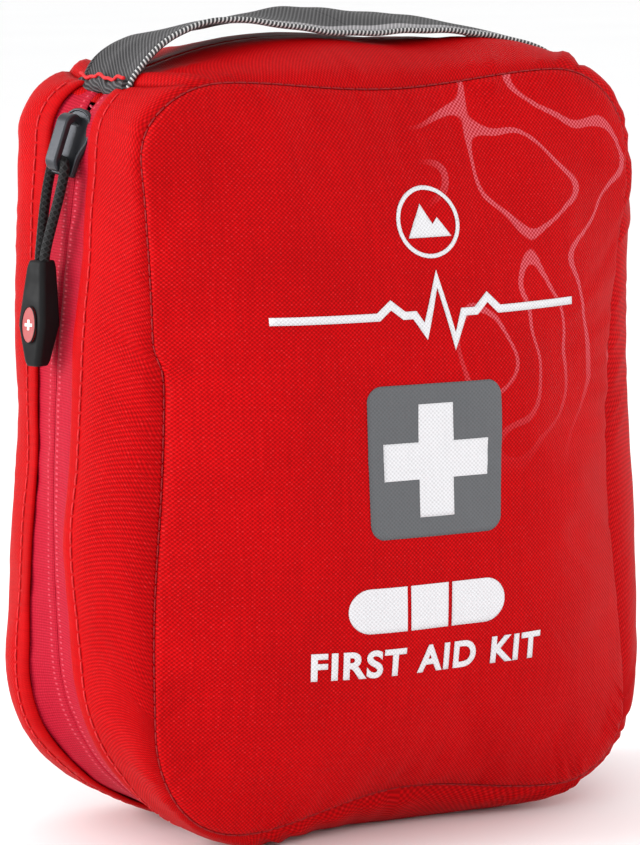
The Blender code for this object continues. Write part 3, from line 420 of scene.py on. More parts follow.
class Graph:
    """A material's nodes, with short calls for those used here. Every call returns an output socket."""

    def __init__(self, name, **shader_values):
        self.material = bpy.data.materials.new(name)
        self.material.use_nodes = True
        self.tree = self.material.node_tree
        self.shader = self.tree.nodes["Principled BSDF"]
        for socket, value in shader_values.items():
            self.shader.inputs[socket.replace("_", " ")].default_value = value

    def node(self, kind, out=0, **values):
        made = self.tree.nodes.new(kind)
        sockets = {k: v for k, v in values.items() if k.startswith("in")}
        for key, value in values.items():
            if key not in sockets:
                setattr(made, key, value)
        for key, value in sockets.items():
            socket = made.inputs[int(key[2:])]
            if isinstance(value, bpy.types.NodeSocket):
                self.tree.links.new(value, socket)
            else:
                socket.default_value = value
        return made.outputs[out]

    def math(self, operation, a, b=0.0, clamp=False):
        return self.node("ShaderNodeMath", operation=operation, in0=a, in1=b, use_clamp=clamp)

    def times(self, a, b):
        return self.math("MULTIPLY", a, b)

    def plus(self, a, b):
        return self.math("ADD", a, b)

    def uv(self):
        return self.node("ShaderNodeUVMap", uv_map="UVMap")

    def place(self):
        return self.node("ShaderNodeTexCoord", out=3)

    def scaled(self, vector, x, y, z=1.0):
        return self.node("ShaderNodeVectorMath", operation="MULTIPLY", in0=vector, in1=(x, y, z))

    def place_mm(self):
        return self.scaled(self.place(), 1000.0, 1000.0, 1000.0)

    def split(self, vector):
        node = self.tree.nodes.new("ShaderNodeSeparateXYZ")
        self.tree.links.new(vector, node.inputs[0])
        return node.outputs

    def noise(self, vector, scale, detail=2.0, roughness=0.5):
        made = self.node("ShaderNodeTexNoise", in0=vector)
        node = made.node
        node.inputs["Scale"].default_value = scale
        node.inputs["Detail"].default_value = detail
        node.inputs["Roughness"].default_value = roughness
        return node.outputs[0]

    def sine(self, value, pace):
        return self.math("SINE", self.times(value, pace))

    def ramp(self, value, low, high, to_low=0.0, to_high=1.0, smooth=True):
        made = self.node("ShaderNodeMapRange", in0=value, in1=low, in2=high, in3=to_low, in4=to_high)
        made.node.interpolation_type = "SMOOTHSTEP" if smooth else "LINEAR"
        return made

    def mix(self, factor, a, b, blend="MIX"):
        node = self.tree.nodes.new("ShaderNodeMix")
        node.data_type, node.blend_type = "RGBA", blend
        for socket, value in ((node.inputs[0], factor), (node.inputs[6], a), (node.inputs[7], b)):
            if isinstance(value, bpy.types.NodeSocket):
                self.tree.links.new(value, socket)
            else:
                socket.default_value = value if isinstance(value, float) else (*value, 1.0)
        return node.outputs[2]

    def colour(self, socket):
        self.tree.links.new(socket, self.shader.inputs["Base Color"])

    def rough(self, socket):
        self.tree.links.new(socket, self.shader.inputs["Roughness"])

    def bump(self, height, distance, strength=1.0):
        made = self.node("ShaderNodeBump")
        node = made.node
        node.inputs["Strength"].default_value = strength
        node.inputs["Distance"].default_value = distance * MM
        self.tree.links.new(height, node.inputs["Height"])
        self.tree.links.new(node.outputs[0], self.shader.inputs["Normal"])


def shade(rgb, factor):
    return tuple(c * factor for c in rgb)


RED = (0.455, 0.0014, 0.0028)
# Colour of the pink glints painted on the thread crests of the red cloth: a painted highlight
HIGHLIGHT_PINK = (0.85, 0.06, 0.07)


def weave(graph, pitch):
    """Height from 0 to 1 of a plain weave, with thick places in its threads."""
    uv = graph.uv()
    u, v, _ = graph.split(uv)
    cross = graph.times(graph.sine(u, math.pi / pitch), graph.sine(v, math.pi / pitch))
    height = graph.ramp(cross, -0.9, 0.9)
    upright = graph.noise(graph.scaled(uv, 1.5, 0.07), 1.0, 2.0)
    level = graph.noise(graph.scaled(uv, 0.07, 1.5), 1.0, 2.0)
    slub = graph.plus(graph.times(upright, 0.62), graph.times(level, 0.38))
    return uv, height, slub


def red_cloth(name, pitch=0.46, ribbed=False, contour=False, tone=1.0):
    """Coated plain-weave polyester, with pink highlights painted on the crests of its threads. A ribbed one
    has ribs near the zip; contour adds pale map lines.
    """
    graph = Graph(name, Roughness=0.55, Specular_IOR_Level=0.04)
    uv, height, slub = weave(graph, pitch)
    if ribbed:
        u, v, _ = graph.split(uv)
        wave = graph.sine(graph.plus(u, graph.times(v, 0.35)), FULL_TURN / 0.5)
        rib = graph.ramp(wave, -1.0, 1.0, 0.42, 0.64)
        near_zip = graph.ramp(graph.math("ABSOLUTE", v), 10.0, 17.0, 1.0, 0.0)
        height = graph.mix(near_zip, height, rib)
    cloudy = graph.noise(graph.scaled(uv, 1.0, 1.0), 0.035, 3.0)
    thread = graph.plus(graph.times(height, 0.62), graph.times(slub, 0.5))
    thread = graph.plus(thread, graph.times(graph.math("SUBTRACT", cloudy, 0.5), 0.35))
    base = graph.mix(graph.ramp(thread, 0.2, 1.0), shade(RED, 0.62 * tone), shade(RED, 1.22 * tone))
    # Painted highlight: pink glints on the highest thread crests, mixed into the base colour
    painted_glint_noise = graph.noise(graph.scaled(uv, 1.1, 1.1), 1.0, 1.0)
    painted_glint = graph.times(graph.ramp(height, 0.72, 1.0), graph.ramp(painted_glint_noise, 0.5, 0.75, 0.0, 0.2))
    colour = graph.mix(painted_glint, base, HIGHLIGHT_PINK)
    if contour:
        colour = contour_print(graph, uv, height, colour)
    graph.colour(colour)
    graph.bump(graph.plus(height, graph.times(slub, 1.1)), 0.11, 0.85)
    return graph.material


def contour_print(graph, uv, height, colour):
    """Pale lines of an invented map in the upper right of the panel, printed on the crests of the weave."""
    u, v, _ = graph.split(uv)
    field = graph.noise(graph.scaled(uv, 1.0, 1.0), 0.026, 1.4, 0.35)
    lines = None
    for level, width in ((0.43, 0.0075), (0.55, 0.0085)):
        off = graph.math("ABSOLUTE", graph.math("SUBTRACT", field, level))
        line = graph.ramp(off, width * 0.75, width, 1.0, 0.0)
        lines = line if lines is None else graph.math("MAXIMUM", lines, line)
    right = graph.ramp(u, 0.0, 12.0)
    above = graph.ramp(v, 80.0, 118.0)
    window = graph.times(right, above)
    crests = graph.ramp(height, 0.3, 0.8, 0.1, 0.5)
    amount = graph.times(graph.times(lines, window), crests)
    return graph.mix(amount, colour, (0.74, 0.2, 0.24))


def ink(name, rgb):
    """Screen print on the weave."""
    graph = Graph(name, Roughness=0.5, Specular_IOR_Level=0.35)
    uv, height, slub = weave(graph, 0.46)
    worn = graph.ramp(graph.plus(height, graph.times(slub, 0.7)), 0.25, 1.3)
    graph.colour(graph.mix(worn, shade(rgb, 0.82), shade(rgb, 1.04)))
    graph.bump(graph.plus(height, slub), 0.07, 0.7)
    return graph.material


def zip_tape_cloth():
    """Woven zip tape: fine cross ribs, a soft satin and rows of specks where the coil is sewn on."""
    graph = Graph("crimson_tape", Roughness=0.55, Specular_IOR_Level=0.08)
    uv = graph.uv()
    u, v, _ = graph.split(uv)
    rib = graph.ramp(graph.sine(u, FULL_TURN / 0.62), -0.9, 0.9)
    thread = graph.ramp(graph.sine(v, FULL_TURN / 0.55), -0.9, 0.9)
    fleck = graph.noise(graph.scaled(uv, 1.6, 2.6), 1.0, 2.0)
    across = graph.math("ABSOLUTE", v)
    row = graph.times(graph.ramp(across, 1.5, 1.9), graph.ramp(across, 2.3, 2.7, 1.0, 0.0))
    stitch = graph.times(row, graph.ramp(graph.sine(u, FULL_TURN / 1.25), 0.1, 0.7))
    height = graph.plus(graph.times(rib, 0.6), graph.times(thread, 0.4))
    tone = graph.plus(graph.times(height, 0.5), graph.times(fleck, 0.6))
    base = graph.mix(graph.ramp(tone, 0.25, 0.95), (0.31, 0.003, 0.015), (0.47, 0.009, 0.031))
    graph.colour(graph.mix(graph.times(stitch, 0.55), base, (0.72, 0.1, 0.14)))
    graph.bump(graph.plus(height, graph.times(stitch, 1.4)), 0.1, 0.8)
    return graph.material


def thread_material(name, rgb, roughness=0.6):
    graph = Graph(name, Roughness=roughness, Specular_IOR_Level=0.3)
    place = graph.place_mm()
    twist = graph.noise(place, 2.4, 2.0)
    graph.colour(graph.mix(graph.ramp(twist, 0.3, 0.7), shade(rgb, 0.75), shade(rgb, 1.15)))
    graph.bump(twist, 0.08, 0.8)
    return graph.material


# ---------------------------------------------------------------- tubes and stitches

def tube_mesh(path, radius, sides=8, closed=False, caps=True):
    """Vertices, faces and UVs of a round tube along a path. radius is one number or one for each point."""
    path = np.asarray(path, float)
    count = len(path)
    ahead = np.roll(path, -1, 0) if closed else np.vstack([path[1:], 2 * path[-1] - path[-2]])
    behind = np.roll(path, 1, 0) if closed else np.vstack([2 * path[0] - path[1], path[:-1]])
    tangent = ahead - behind
    tangent /= np.linalg.norm(tangent, axis=1)[:, None]
    side = np.cross(tangent[0], [0.31, 0.87, 0.38])
    side /= np.linalg.norm(side)
    frames = []
    for t in tangent:
        side = side - t * (side @ t)
        side /= np.linalg.norm(side)
        frames.append((side, np.cross(t, side)))
    turn = np.linspace(0, FULL_TURN, sides, endpoint=False)
    radii = np.full(count, radius) if np.isscalar(radius) else np.asarray(radius)
    run = np.concatenate([[0.0], np.cumsum(np.linalg.norm(np.diff(path, axis=0), axis=1))])
    verts, uv = [], []
    for i, (a, b) in enumerate(frames):
        for angle in turn:
            verts.append(path[i] + radii[i] * (a * math.cos(angle) + b * math.sin(angle)))
            uv.append((run[i], angle))
    faces = grid_faces(count, sides, wrap=True)
    if closed:
        last = (count - 1) * sides
        faces += [[last + c, last + (c + 1) % sides, (c + 1) % sides, c] for c in range(sides)]
    elif caps:
        faces += [list(range(sides))[::-1], [(count - 1) * sides + c for c in range(sides)]]
    return np.array(verts), faces, np.array(uv)


def joined(parts):
    """Several (verts, faces, uv) as one."""
    verts, faces, uv, base = [], [], [], 0
    for v, f, t in parts:
        verts.append(v)
        uv.append(t)
        faces += [[i + base for i in face] for face in f]
        base += len(v)
    return np.vstack(verts), faces, np.vstack(uv)


def resampled(path, step):
    path = np.asarray(path, float)
    run = np.concatenate([[0.0], np.cumsum(np.linalg.norm(np.diff(path, axis=0), axis=1))])
    count = max(int(round(run[-1] / step)), 2)
    at = np.linspace(0, run[-1], count + 1)
    return np.stack([np.interp(at, run, path[:, k]) for k in range(path.shape[1])], 1)


def stitch_row(path, outward, length=2.5, gap=0.7, radius=0.2):
    """Sewing stitches along a path: each one dives into the cloth at both ends."""
    both = resampled(np.hstack([path, outward]), length + gap)
    parts = []
    for a, b in zip(both[:-1], both[1:]):
        start, end = a[:3], a[:3] + (b[:3] - a[:3]) * length / (length + gap)
        out = a[3:] / np.linalg.norm(a[3:])
        line = [start - out * 0.28, start + out * 0.1, (start + end) / 2 + out * 0.16, end + out * 0.1,
                end - out * 0.28]
        parts.append(tube_mesh(line, radius, 6))
    return joined(parts)


# ---------------------------------------------------------------- case

STITCH_Y = 12.2                          # topstitching on the gussets, from the zip's middle
NEAR_SEAM = (0.0, 0.4, 0.9, 1.5, 2.2, 3.0, 4.0, 5.2)     # rows of points lie close together by a seam
SEAM_TAPE_ROWS = ((3.2, 1.6), (3.6, 1.9), (4.2, 2.1), (5.2, 2.2), (6.6, 2.25), (8.0, 2.2), (9.0, 2.1),
                  (9.6, 1.9), (9.9, 1.5))
LEFT_SEAM_INDEX, RIGHT_SEAM_INDEX = LOOP_COUNT - CROSS_SEAM, CROSS_SEAM


def gusset_depths(side):
    """Rows of a gusset from its seam to its folded edge, as depth and how far the cloth is turned in."""
    seam = abs(FRONT_Y if side < 0 else REAR_Y)
    rows = [(seam - d, 0.0) for d in NEAR_SEAM]
    rows += [(y, 0.0) for y in np.linspace(seam - 6.8, STITCH_Y + 2.2, 8)]
    dent = ((1.2, 0.0), (0.6, 0.06), (0.0, 0.2), (-0.6, 0.04), (-1.6, -0.1))
    rows += [(STITCH_Y + off, sink) for off, sink in dent]
    fold = ((0.9, -0.12), (0.37, 0.0), (0.08, 0.2), (0.0, 0.5), (0.17, 0.8), (1.0, 0.95), (3.4, 1.05))
    rows += [(GUSSET_EDGE + off, sink) for off, sink in fold]
    return [(side * y, sink) for y, sink in rows]


def strip_depths(side):
    seam = abs(FRONT_Y if side < 0 else REAR_Y)
    rows = [seam - d for d in NEAR_SEAM] + list(np.linspace(seam - 6.8, 0.0, 14))
    return [(side * y, 0.0) for y in rows]


def cross_seam_height(run):
    """The seam allowances at the top corners stand out beside the cross seams."""
    height = 0.0
    for index, way in ((LEFT_SEAM_INDEX, 1), (RIGHT_SEAM_INDEX, -1)):
        off = (run - ZIP_RUN[index]) * way
        height = height + 1.15 * hump(off, -2.6, 1.9) - 0.9 * np.exp(-(off / 0.75) ** 2)
    return height


def wall_grid(indices, rows, side):
    grid = []
    seam = abs(FRONT_Y if side < 0 else REAR_Y)
    for y, sink in rows:
        points, normals = wall_point_grid([y], indices, side, sink)
        near_end = cross_seam_height(ZIP_RUN[indices]) * (1 - math.exp(-(abs(y) / 6.0) ** 2))
        near_end = near_end * (1 - math.exp(-((seam - abs(y)) / 4.0) ** 2))
        points[0][:, 0] += normals[0][:, 0] * near_end
        points[0][:, 2] = np.maximum(points[0][:, 2] + normals[0][:, 1] * near_end, 0.9 * max(sink, 0.0))
        grid.append(points[0])
    return np.array(grid)


def cloth_grid_piece(name, grid, indices, rows, mat, flip):
    count = len(indices)
    run = np.unwrap(ZIP_RUN[indices], period=ZIP_RUN[-1])
    uv = [(s, y) for y, _ in rows for s in run]
    return make_piece(name, grid.reshape(-1, 3), grid_faces(len(rows), count, flip=flip), mat, uv, CLOTH / 2)


def build_walls(red_wall):
    for side, half in ((-1, "front"), (1, "rear")):
        rows = gusset_depths(side)
        grid = wall_grid(WALL, rows, side)
        piece = cloth_grid_piece(half + "_gusset_cloth", grid, WALL, rows, red_wall, flip=side < 0)
        fold_with_top(piece, side, "red_polyester", half + "_gusset")
        rows = strip_depths(side)
        grid = wall_grid(TOP, rows, side)
        piece = cloth_grid_piece("top_strip_" + half, grid, TOP, rows, red_wall, flip=side < 0)
        fold_with_top(piece, side, "red_polyester", "top_gusset")


def build_cross_seams(red):
    """Strips of cloth that back the seams between the gussets and the top strip."""
    for side, half in ((-1, "front"), (1, "rear")):
        rows = [(y, 1.0) for y, _ in strip_depths(side)[1:]]
        for middle, end in ((CROSS_SEAM, "right"), (LOOP_COUNT - CROSS_SEAM, "left")):
            indices = list(range(middle - 4, middle + 5))
            grid = wall_grid(indices, rows, side)
            name = "cross_seam_%s_%s" % (half, end)
            piece = cloth_grid_piece(name, grid, indices, rows, red, flip=side < 0)
            fold_with_top(piece, side, "red_polyester")


def build_seam(side, half, thread):
    """Stitches that join a panel and its gusset, down in the groove between them. Their thread is much darker
    than the cloth, so that they also paint the groove's shade as a crisp dark line.
    """
    rows, _ = panel_rings(side)
    normals = loop_normals(FRONT_LOOP if side < 0 else REAR_LOOP)
    outward = np.stack([normals[:, 0], np.full(LOOP_COUNT, side * 1.0), normals[:, 1]], 1) / math.sqrt(2)
    path = rows[0] + outward * 0.12
    path[:, 2] = np.maximum(path[:, 2], 0.35)
    path, outward = np.vstack([path, path[:1]]), np.vstack([outward, outward[:1]])
    verts, faces, uv = stitch_row(path, outward, 2.4, 0.5, 0.2)
    settle(make_piece(half + "_panel_seam", verts, faces, thread, uv), half + "_half", "red_thread")


def build_stitching(thread):
    for side, half in ((-1, "front"), (1, "rear")):
        points, normals = wall_point_grid([side * STITCH_Y], WALL, side, 0.05)
        outward = np.stack([normals[0][:, 0], np.zeros(len(WALL)), normals[0][:, 1]], 1)
        verts, faces, uv = stitch_row(points[0][3:-3], outward[3:-3])
        piece = make_piece(half + "_topstitching", verts, faces, thread, uv)
        fold_with_top(piece, side, "red_thread")


# The cloth is simulated enlarged, for a few frames, and moves 1.4 mm at most.
SIM_SCALE, SIM_FRAMES, SIM_CAP = 10.0, 18, 1.4
SIM_STRETCH, SIM_SHEAR, SIM_BENDING = 12.0, 4.0, 0.3
SIM_MASS, SIM_PRESSURE, SIM_SLACK = 0.3, 0.25, -0.006
SIM_HOLD = (1.0, 1.0, 0.9, 0.6, 0.3)     # how firmly the rows of points by the seam are held


def relax_cloth(rows, middle, side):
    """Settles a panel's cloth over its contents: sewn at its edge, slightly slack, pressed from inside."""
    points = np.vstack([rows.reshape(-1, 3), middle])
    faces = panel_faces(len(rows), side)
    mesh = bpy.data.meshes.new("relaxing")
    mesh.from_pydata((points * MM * SIM_SCALE).tolist(), [], faces)
    guide = bpy.data.objects.new("relaxing", mesh)
    bpy.context.scene.collection.objects.link(guide)
    pins = guide.vertex_groups.new(name="seam")
    for row, hold in enumerate(SIM_HOLD):
        pins.add(list(range(row * LOOP_COUNT, (row + 1) * LOOP_COUNT)), hold, "REPLACE")
    cloth = guide.modifiers.new("Cloth", "CLOTH")
    settings = cloth.settings
    settings.quality, settings.mass = 5, SIM_MASS
    settings.tension_stiffness = settings.compression_stiffness = SIM_STRETCH
    settings.shear_stiffness, settings.bending_stiffness = SIM_SHEAR, SIM_BENDING
    settings.vertex_group_mass = "seam"
    settings.shrink_min = SIM_SLACK
    settings.use_pressure, settings.uniform_pressure_force = True, SIM_PRESSURE
    settings.effector_weights.gravity = 0.0
    cloth.collision_settings.use_collision = False
    scene = bpy.context.scene
    for moment in range(1, SIM_FRAMES + 1):
        scene.frame_set(moment)
    posed = guide.evaluated_get(bpy.context.evaluated_depsgraph_get())
    settled = np.array([v.co for v in posed.data.vertices]) / MM / SIM_SCALE
    scene.frame_set(1)
    bpy.data.objects.remove(guide)
    move = settled - points
    size = np.linalg.norm(move, axis=1)[:, None]
    return points + move * SIM_CAP * np.tanh(size / SIM_CAP) / np.maximum(size, 1e-6)


def panel_faces(row_count, side):
    faces = grid_faces(row_count, LOOP_COUNT, wrap=True, flip=side > 0)
    last = (row_count - 1) * LOOP_COUNT
    for i in range(LOOP_COUNT):
        face = [last + i, last + (i + 1) % LOOP_COUNT, row_count * LOOP_COUNT]
        faces.append(face[::-1] if side > 0 else face)
    return faces


def panel_piece(name, side, mat, sink=0.0, thickness=CLOTH / 2):
    rows, middle = panel_rings(side, sink=sink)
    verts = np.vstack([rows.reshape(-1, 3), middle]) if sink else relax_cloth(rows, middle, side)
    verts[:, 2] = np.maximum(verts[:, 2], 0.0)
    return make_piece(name, verts, panel_faces(len(rows), side), mat, verts[:, [0, 2]], thickness)


# ---------------------------------------------------------------- prints on the front panel

def flat_shape(outlines):
    """Filled flat outlines of (x, z) points as one mesh datablock."""
    mesh = bpy.data.meshes.new("flat")
    verts, faces = [], []
    for outline in outlines:
        faces.append(list(range(len(verts), len(verts) + len(outline))))
        verts += [(x, z, 0.0) for x, z in outline]
    mesh.from_pydata(verts, [], faces)
    return mesh


def ribbon(path, width):
    """Outline of a flat stroke along a path."""
    path = np.asarray(path, float)
    ahead = np.vstack([path[1:] - path[:-1], path[-1:] - path[-2:-1]])
    ahead /= np.linalg.norm(ahead, axis=1)[:, None]
    before = np.vstack([ahead[:1], ahead[:-1]])
    normal_a = np.stack([-ahead[:, 1], ahead[:, 0]], 1)
    normal_b = np.stack([-before[:, 1], before[:, 0]], 1)
    mitre = normal_a + normal_b
    mitre /= np.linalg.norm(mitre, axis=1)[:, None]
    mitre *= (width / 2 / np.maximum((mitre * normal_a).sum(1), 0.45))[:, None]
    return path, mitre


def stroke_mesh(paths, width):
    verts, faces = [], []
    for path in paths:
        line, mitre = ribbon(path, width)
        base = len(verts)
        for p, m in zip(line, mitre):
            verts += [(*(p + m), 0.0), (*(p - m), 0.0)]
        faces += [[base + 2 * i, base + 2 * i + 1, base + 2 * i + 3, base + 2 * i + 2]
                  for i in range(len(line) - 1)]
    mesh = bpy.data.meshes.new("stroke")
    mesh.from_pydata(verts, [], faces)
    return mesh


def lettering_mesh(text, width):
    """Plain lettering, centred, with its baseline at 0 and the given width."""
    curve = bpy.data.curves.new("lettering", "FONT")
    curve.body = text
    curve.offset = 0.036
    curve.space_character = 1.12
    curve.space_word = 1.15
    guide = bpy.data.objects.new("lettering", curve)
    bpy.context.scene.collection.objects.link(guide)
    bpy.context.view_layer.update()
    mesh = bpy.data.meshes.new_from_object(guide.evaluated_get(bpy.context.evaluated_depsgraph_get()))
    bpy.data.objects.remove(guide)
    xs = [v.co.x for v in mesh.vertices]
    scale = width / (max(xs) - min(xs))
    middle = (max(xs) + min(xs)) / 2
    for v in mesh.vertices:
        v.co = ((v.co.x - middle) * scale, v.co.y * scale, 0.0)
    return mesh


PRINT_LIFT = 0.1                         # keeps a print clear of the cloth between its points


def printed(name, mesh, x, z, lift, mat, slot, panel_tree, step=1.2):
    """Lays a flat shape on the front panel, cut finely enough to follow it."""
    bm = bmesh.new()
    bm.from_mesh(mesh)
    bmesh.ops.remove_doubles(bm, verts=bm.verts, dist=1e-4)
    co = np.array([v.co for v in bm.verts])
    for axis, normal in ((0, (1, 0, 0)), (1, (0, 1, 0))):
        for cut in np.arange(co[:, axis].min() + step, co[:, axis].max(), step):
            place = (cut, 0, 0) if axis == 0 else (0, cut, 0)
            bmesh.ops.bisect_plane(bm, geom=bm.verts[:] + bm.edges[:] + bm.faces[:], plane_co=place,
                                   plane_no=normal, dist=1e-5)
    bm.verts.ensure_lookup_table()
    bm.verts.index_update()
    verts, uv = [], []
    for v in bm.verts:
        px, pz = v.co.x + x, v.co.y + z
        origin = Vector(((px + SHIFT[0]) * MM, -0.2, pz * MM))
        place, normal, _, _ = panel_tree.ray_cast(origin, Vector((0, 1, 0)))
        out = normal if normal.y < 0 else -normal
        verts.append(np.array(place + out * (lift + PRINT_LIFT) * MM) / MM - SHIFT)
        uv.append((px, pz))
    faces = []
    for f in bm.faces:
        loop = [v.index for v in f.verts]
        faces.append(loop if f.normal.z > 0 else loop[::-1])
    bm.free()
    settle(make_piece(name, verts, faces, mat, uv, 0.06), "front_half", slot)


def rounded_square(half, radius, steps=8):
    points = []
    for k, (cx, cz) in enumerate(((1, 1), (-1, 1), (-1, -1), (1, -1))):
        points += arc(cx * (half - radius), cz * (half - radius), radius, k * QUARTER_TURN,
                      (k + 1) * QUARTER_TURN, steps)
    return points


def cross_outline(reach, arm):
    return [(reach, -arm), (reach, arm), (arm, arm), (arm, reach), (-arm, reach), (-arm, arm),
            (-reach, arm), (-reach, -arm), (-arm, -arm), (-arm, -reach), (arm, -reach), (arm, -arm)]


PATCH_X, PATCH_Z, PATCH_HALF, PATCH_TALL = -1.4, 87.2, 15.8, 1.05
LETTERING_X, LETTERING_Z, LETTERING_WIDTH = -2.2, 41.0, 55.6
PLASTER_X, PLASTER_Z, PLASTER_HALF, PLASTER_RADIUS = -3.5, 55.4, 18.8, 4.9
PULSE_Z, PULSE_WIDTH = 118.6, 1.7
EMBLEM_Z, EMBLEM_RADIUS, EMBLEM_LINE = 138.0, 7.2, 0.9
INK_LIFT, SECOND_INK_LIFT = 0.05, 0.13     # the cross is printed over the patch


def build_plaster(white, tree):
    """A sticking plaster: two rounded ends with rows of holes left clear, and the pad between them."""
    radius, half, pad = PLASTER_RADIUS, PLASTER_HALF, 4.6
    pieces = []
    for way in (-1, 1):
        end = [(way * (pad + 0.9), -radius)]
        end += [(way * (half - radius + radius * math.sin(a)), -radius * math.cos(a))
                for a in np.linspace(0, math.pi, 19)]
        end.append((way * (pad + 0.9), radius))
        pieces.append(end)
    pieces.append([(-pad, -radius), (pad, -radius), (pad, radius), (-pad, radius)])
    printed("print_plaster", flat_shape(pieces), PLASTER_X, PLASTER_Z, INK_LIFT, white, "white_print", tree)


def build_prints(panel, white, grey):
    tree = BVHTree.FromPolygons([v.co[:] for v in panel.data.vertices],
                                [p.vertices[:] for p in panel.data.polygons])
    square = [(u, v * PATCH_TALL) for u, v in rounded_square(PATCH_HALF, 3.4)]
    printed("print_patch", flat_shape([square]), PATCH_X, PATCH_Z, INK_LIFT, grey, "grey_print", tree)
    arm, reach = PATCH_HALF * 0.255, PATCH_HALF * 0.775
    cross = cross_outline(reach, arm)
    printed("print_cross", flat_shape([cross]), PATCH_X, PATCH_Z, SECOND_INK_LIFT, white, "white_print", tree)
    lettering = lettering_mesh("FIRST AID KIT", LETTERING_WIDTH)
    printed("print_lettering", lettering, LETTERING_X, LETTERING_Z, INK_LIFT, white, "white_print", tree)
    build_plaster(white, tree)
    beat = [(-37, 0), (-14, 0), (-11, 2.4), (-8, 0), (-5.5, 0), (-3, -3.6), (0.5, 7.4), (4, -6.2), (6.4, 0),
            (9.5, 0), (12.5, 2.8), (15.5, 0), (37, 0)]
    printed("print_pulse", stroke_mesh([beat], PULSE_WIDTH), 0, PULSE_Z, INK_LIFT, white, "white_print", tree)
    turn = [FULL_TURN * i / 48 for i in range(49)]
    ring = [(EMBLEM_RADIUS * math.cos(a), EMBLEM_RADIUS * math.sin(a)) for a in turn]
    printed("print_ring", stroke_mesh([ring], EMBLEM_LINE), 0, EMBLEM_Z, INK_LIFT, white, "white_print", tree)
    peaks = [(-5.2, -3.2), (5.2, -3.2), (3.4, -0.6), (2.3, 0.9), (1.1, -0.5), (-1.4, 3.9), (-3.6, 0.0)]
    printed("print_peaks", flat_shape([peaks]), 0, EMBLEM_Z, INK_LIFT, white, "white_print", tree)


# ---------------------------------------------------------------- zip

def slider_frame():
    far = ZIP_SIDE_RADIUS - ZIP_SIDE_X
    x = far - ZIP_SIDE_RADIUS * math.cos(SLIDER_ANGLE)
    z = ZIP_SIDE_Z - BASE_Z + ZIP_SIDE_RADIUS * math.sin(SLIDER_ANGLE)
    return x, z, SLIDER_ANGLE + SLIDER_LEAN


def on_slider(along, across, out):
    """A point given along the zip, across it and out of the case, in the slider's frame."""
    x, z, tilt = slider_frame()
    turn = SLIDER_TURN * min(max((out + 3.0) / 4.0, 0.0), 1.0)
    along = along + SLIDER_RISE
    cosine, sine = math.cos(turn), math.sin(turn)
    across, out = across * cosine - out * sine, out * cosine + across * sine
    out += SLIDER_STAND * turn / SLIDER_TURN
    far, up = math.sin(tilt), math.cos(tilt)
    return (x + along * far - out * up, across, z + along * up + out * far)


def zip_gap(index):
    """Half of the gap between the tapes: shut below the slider, and open above it."""
    z = ZIP_LOOP[index][1]
    if ZIP_LOOP[index][0] > 0:
        return 0.12
    above = (z - 164.0) / 6.0
    return 0.12 + 1.9 * math.exp(-((above - 0.35) / 0.62) ** 2)


TAPE_ROWS = (
    (10.5, 1.25), (8.8, 1.15), (7.0, 0.95), (5.4, 0.8), (4.2, 0.68), (3.2, 0.56), (2.5, 0.45), (1.9, 0.34),
    (1.3, 0.3), (0.7, 0.36), (0.2, 0.6), (0.0, 0.8),
)


def build_zip_tapes(tape, coil):
    for side, half in ((-1, "front"), (1, "rear")):
        rows = []
        for across, sink in TAPE_ROWS:
            points, normals = wall_point_grid([side * max(across, 0.01)], WALL, side, sink)
            row = points[0]
            gaps = np.array([zip_gap(i) for i in WALL])
            row[:, 1] = side * (gaps + across * (1 - gaps / 14.0))
            ripple = 0.12 * swell(row, 7, 31) * min(across / 2, 1)
            row[:, 0] += normals[0][:, 0] * ripple
            row[:, 2] = np.maximum(row[:, 2] + normals[0][:, 1] * ripple, 0.25)
            rows.append(row)
        run = np.unwrap(ZIP_RUN[WALL], period=ZIP_RUN[-1])
        uv = [(s, side * across) for across, _ in TAPE_ROWS for s in run]
        grid = np.array(rows)
        faces = grid_faces(len(rows), len(WALL), flip=side < 0)
        piece = make_piece(half + "_tape_cloth", grid.reshape(-1, 3), faces, tape, uv, 0.35)
        fold_with_top(piece, side, "crimson_tape", half + "_zip_tape")
        build_coil(half, side, coil)


def build_coil(half, side, coil):
    """The sewn coil inside the tape: a flattened helix along the zip line."""
    pitch, sides = 1.3, 8
    points, normals = wall_point_grid([side * 0.01], WALL[4:-4], side, 1.75)
    line = resampled(np.hstack([points[0], normals[0]]), pitch / sides)
    turn = np.arange(len(line)) * FULL_TURN / sides
    y = side * (0.25 + 1.0 - 0.95 * np.cos(turn))
    lift = 0.62 * np.sin(turn)
    path = np.stack([line[:, 0] - line[:, 3] * lift, y, np.maximum(line[:, 2] - line[:, 4] * lift, 0.9)], 1)
    verts, faces, uv = tube_mesh(path, 0.3, 5)
    piece = make_piece(half + "_coil", verts, faces, coil, uv)
    fold_with_top(piece, side, "crimson_coil", half + "_zip_coil")


# Slack tape lets the slider turn a little, and stand off the case.
SLIDER_TURN, SLIDER_RISE, SLIDER_STAND = math.radians(18.0), 3.2, 1.3


def plate_outline():
    """The slider's top plate: broad shoulders above, narrowing to where the closed coil leaves it."""
    half = [(7.8, 0.0), (7.6, 1.5), (6.7, 2.9), (5.0, 4.0), (2.6, 4.55), (0.4, 4.35), (-1.6, 3.5),
            (-3.4, 3.05), (-5.6, 2.95), (-7.4, 2.95)]
    return half + [(a, -1.3 * b) for a, b in half[::-1] if b > 0]


def round_edges(piece, width, segments, degrees):
    bevel = piece.modifiers.new("Bevel", "BEVEL")
    bevel.width = width * MM
    bevel.segments = segments
    bevel.limit_method = "ANGLE"
    bevel.angle_limit = math.radians(degrees)


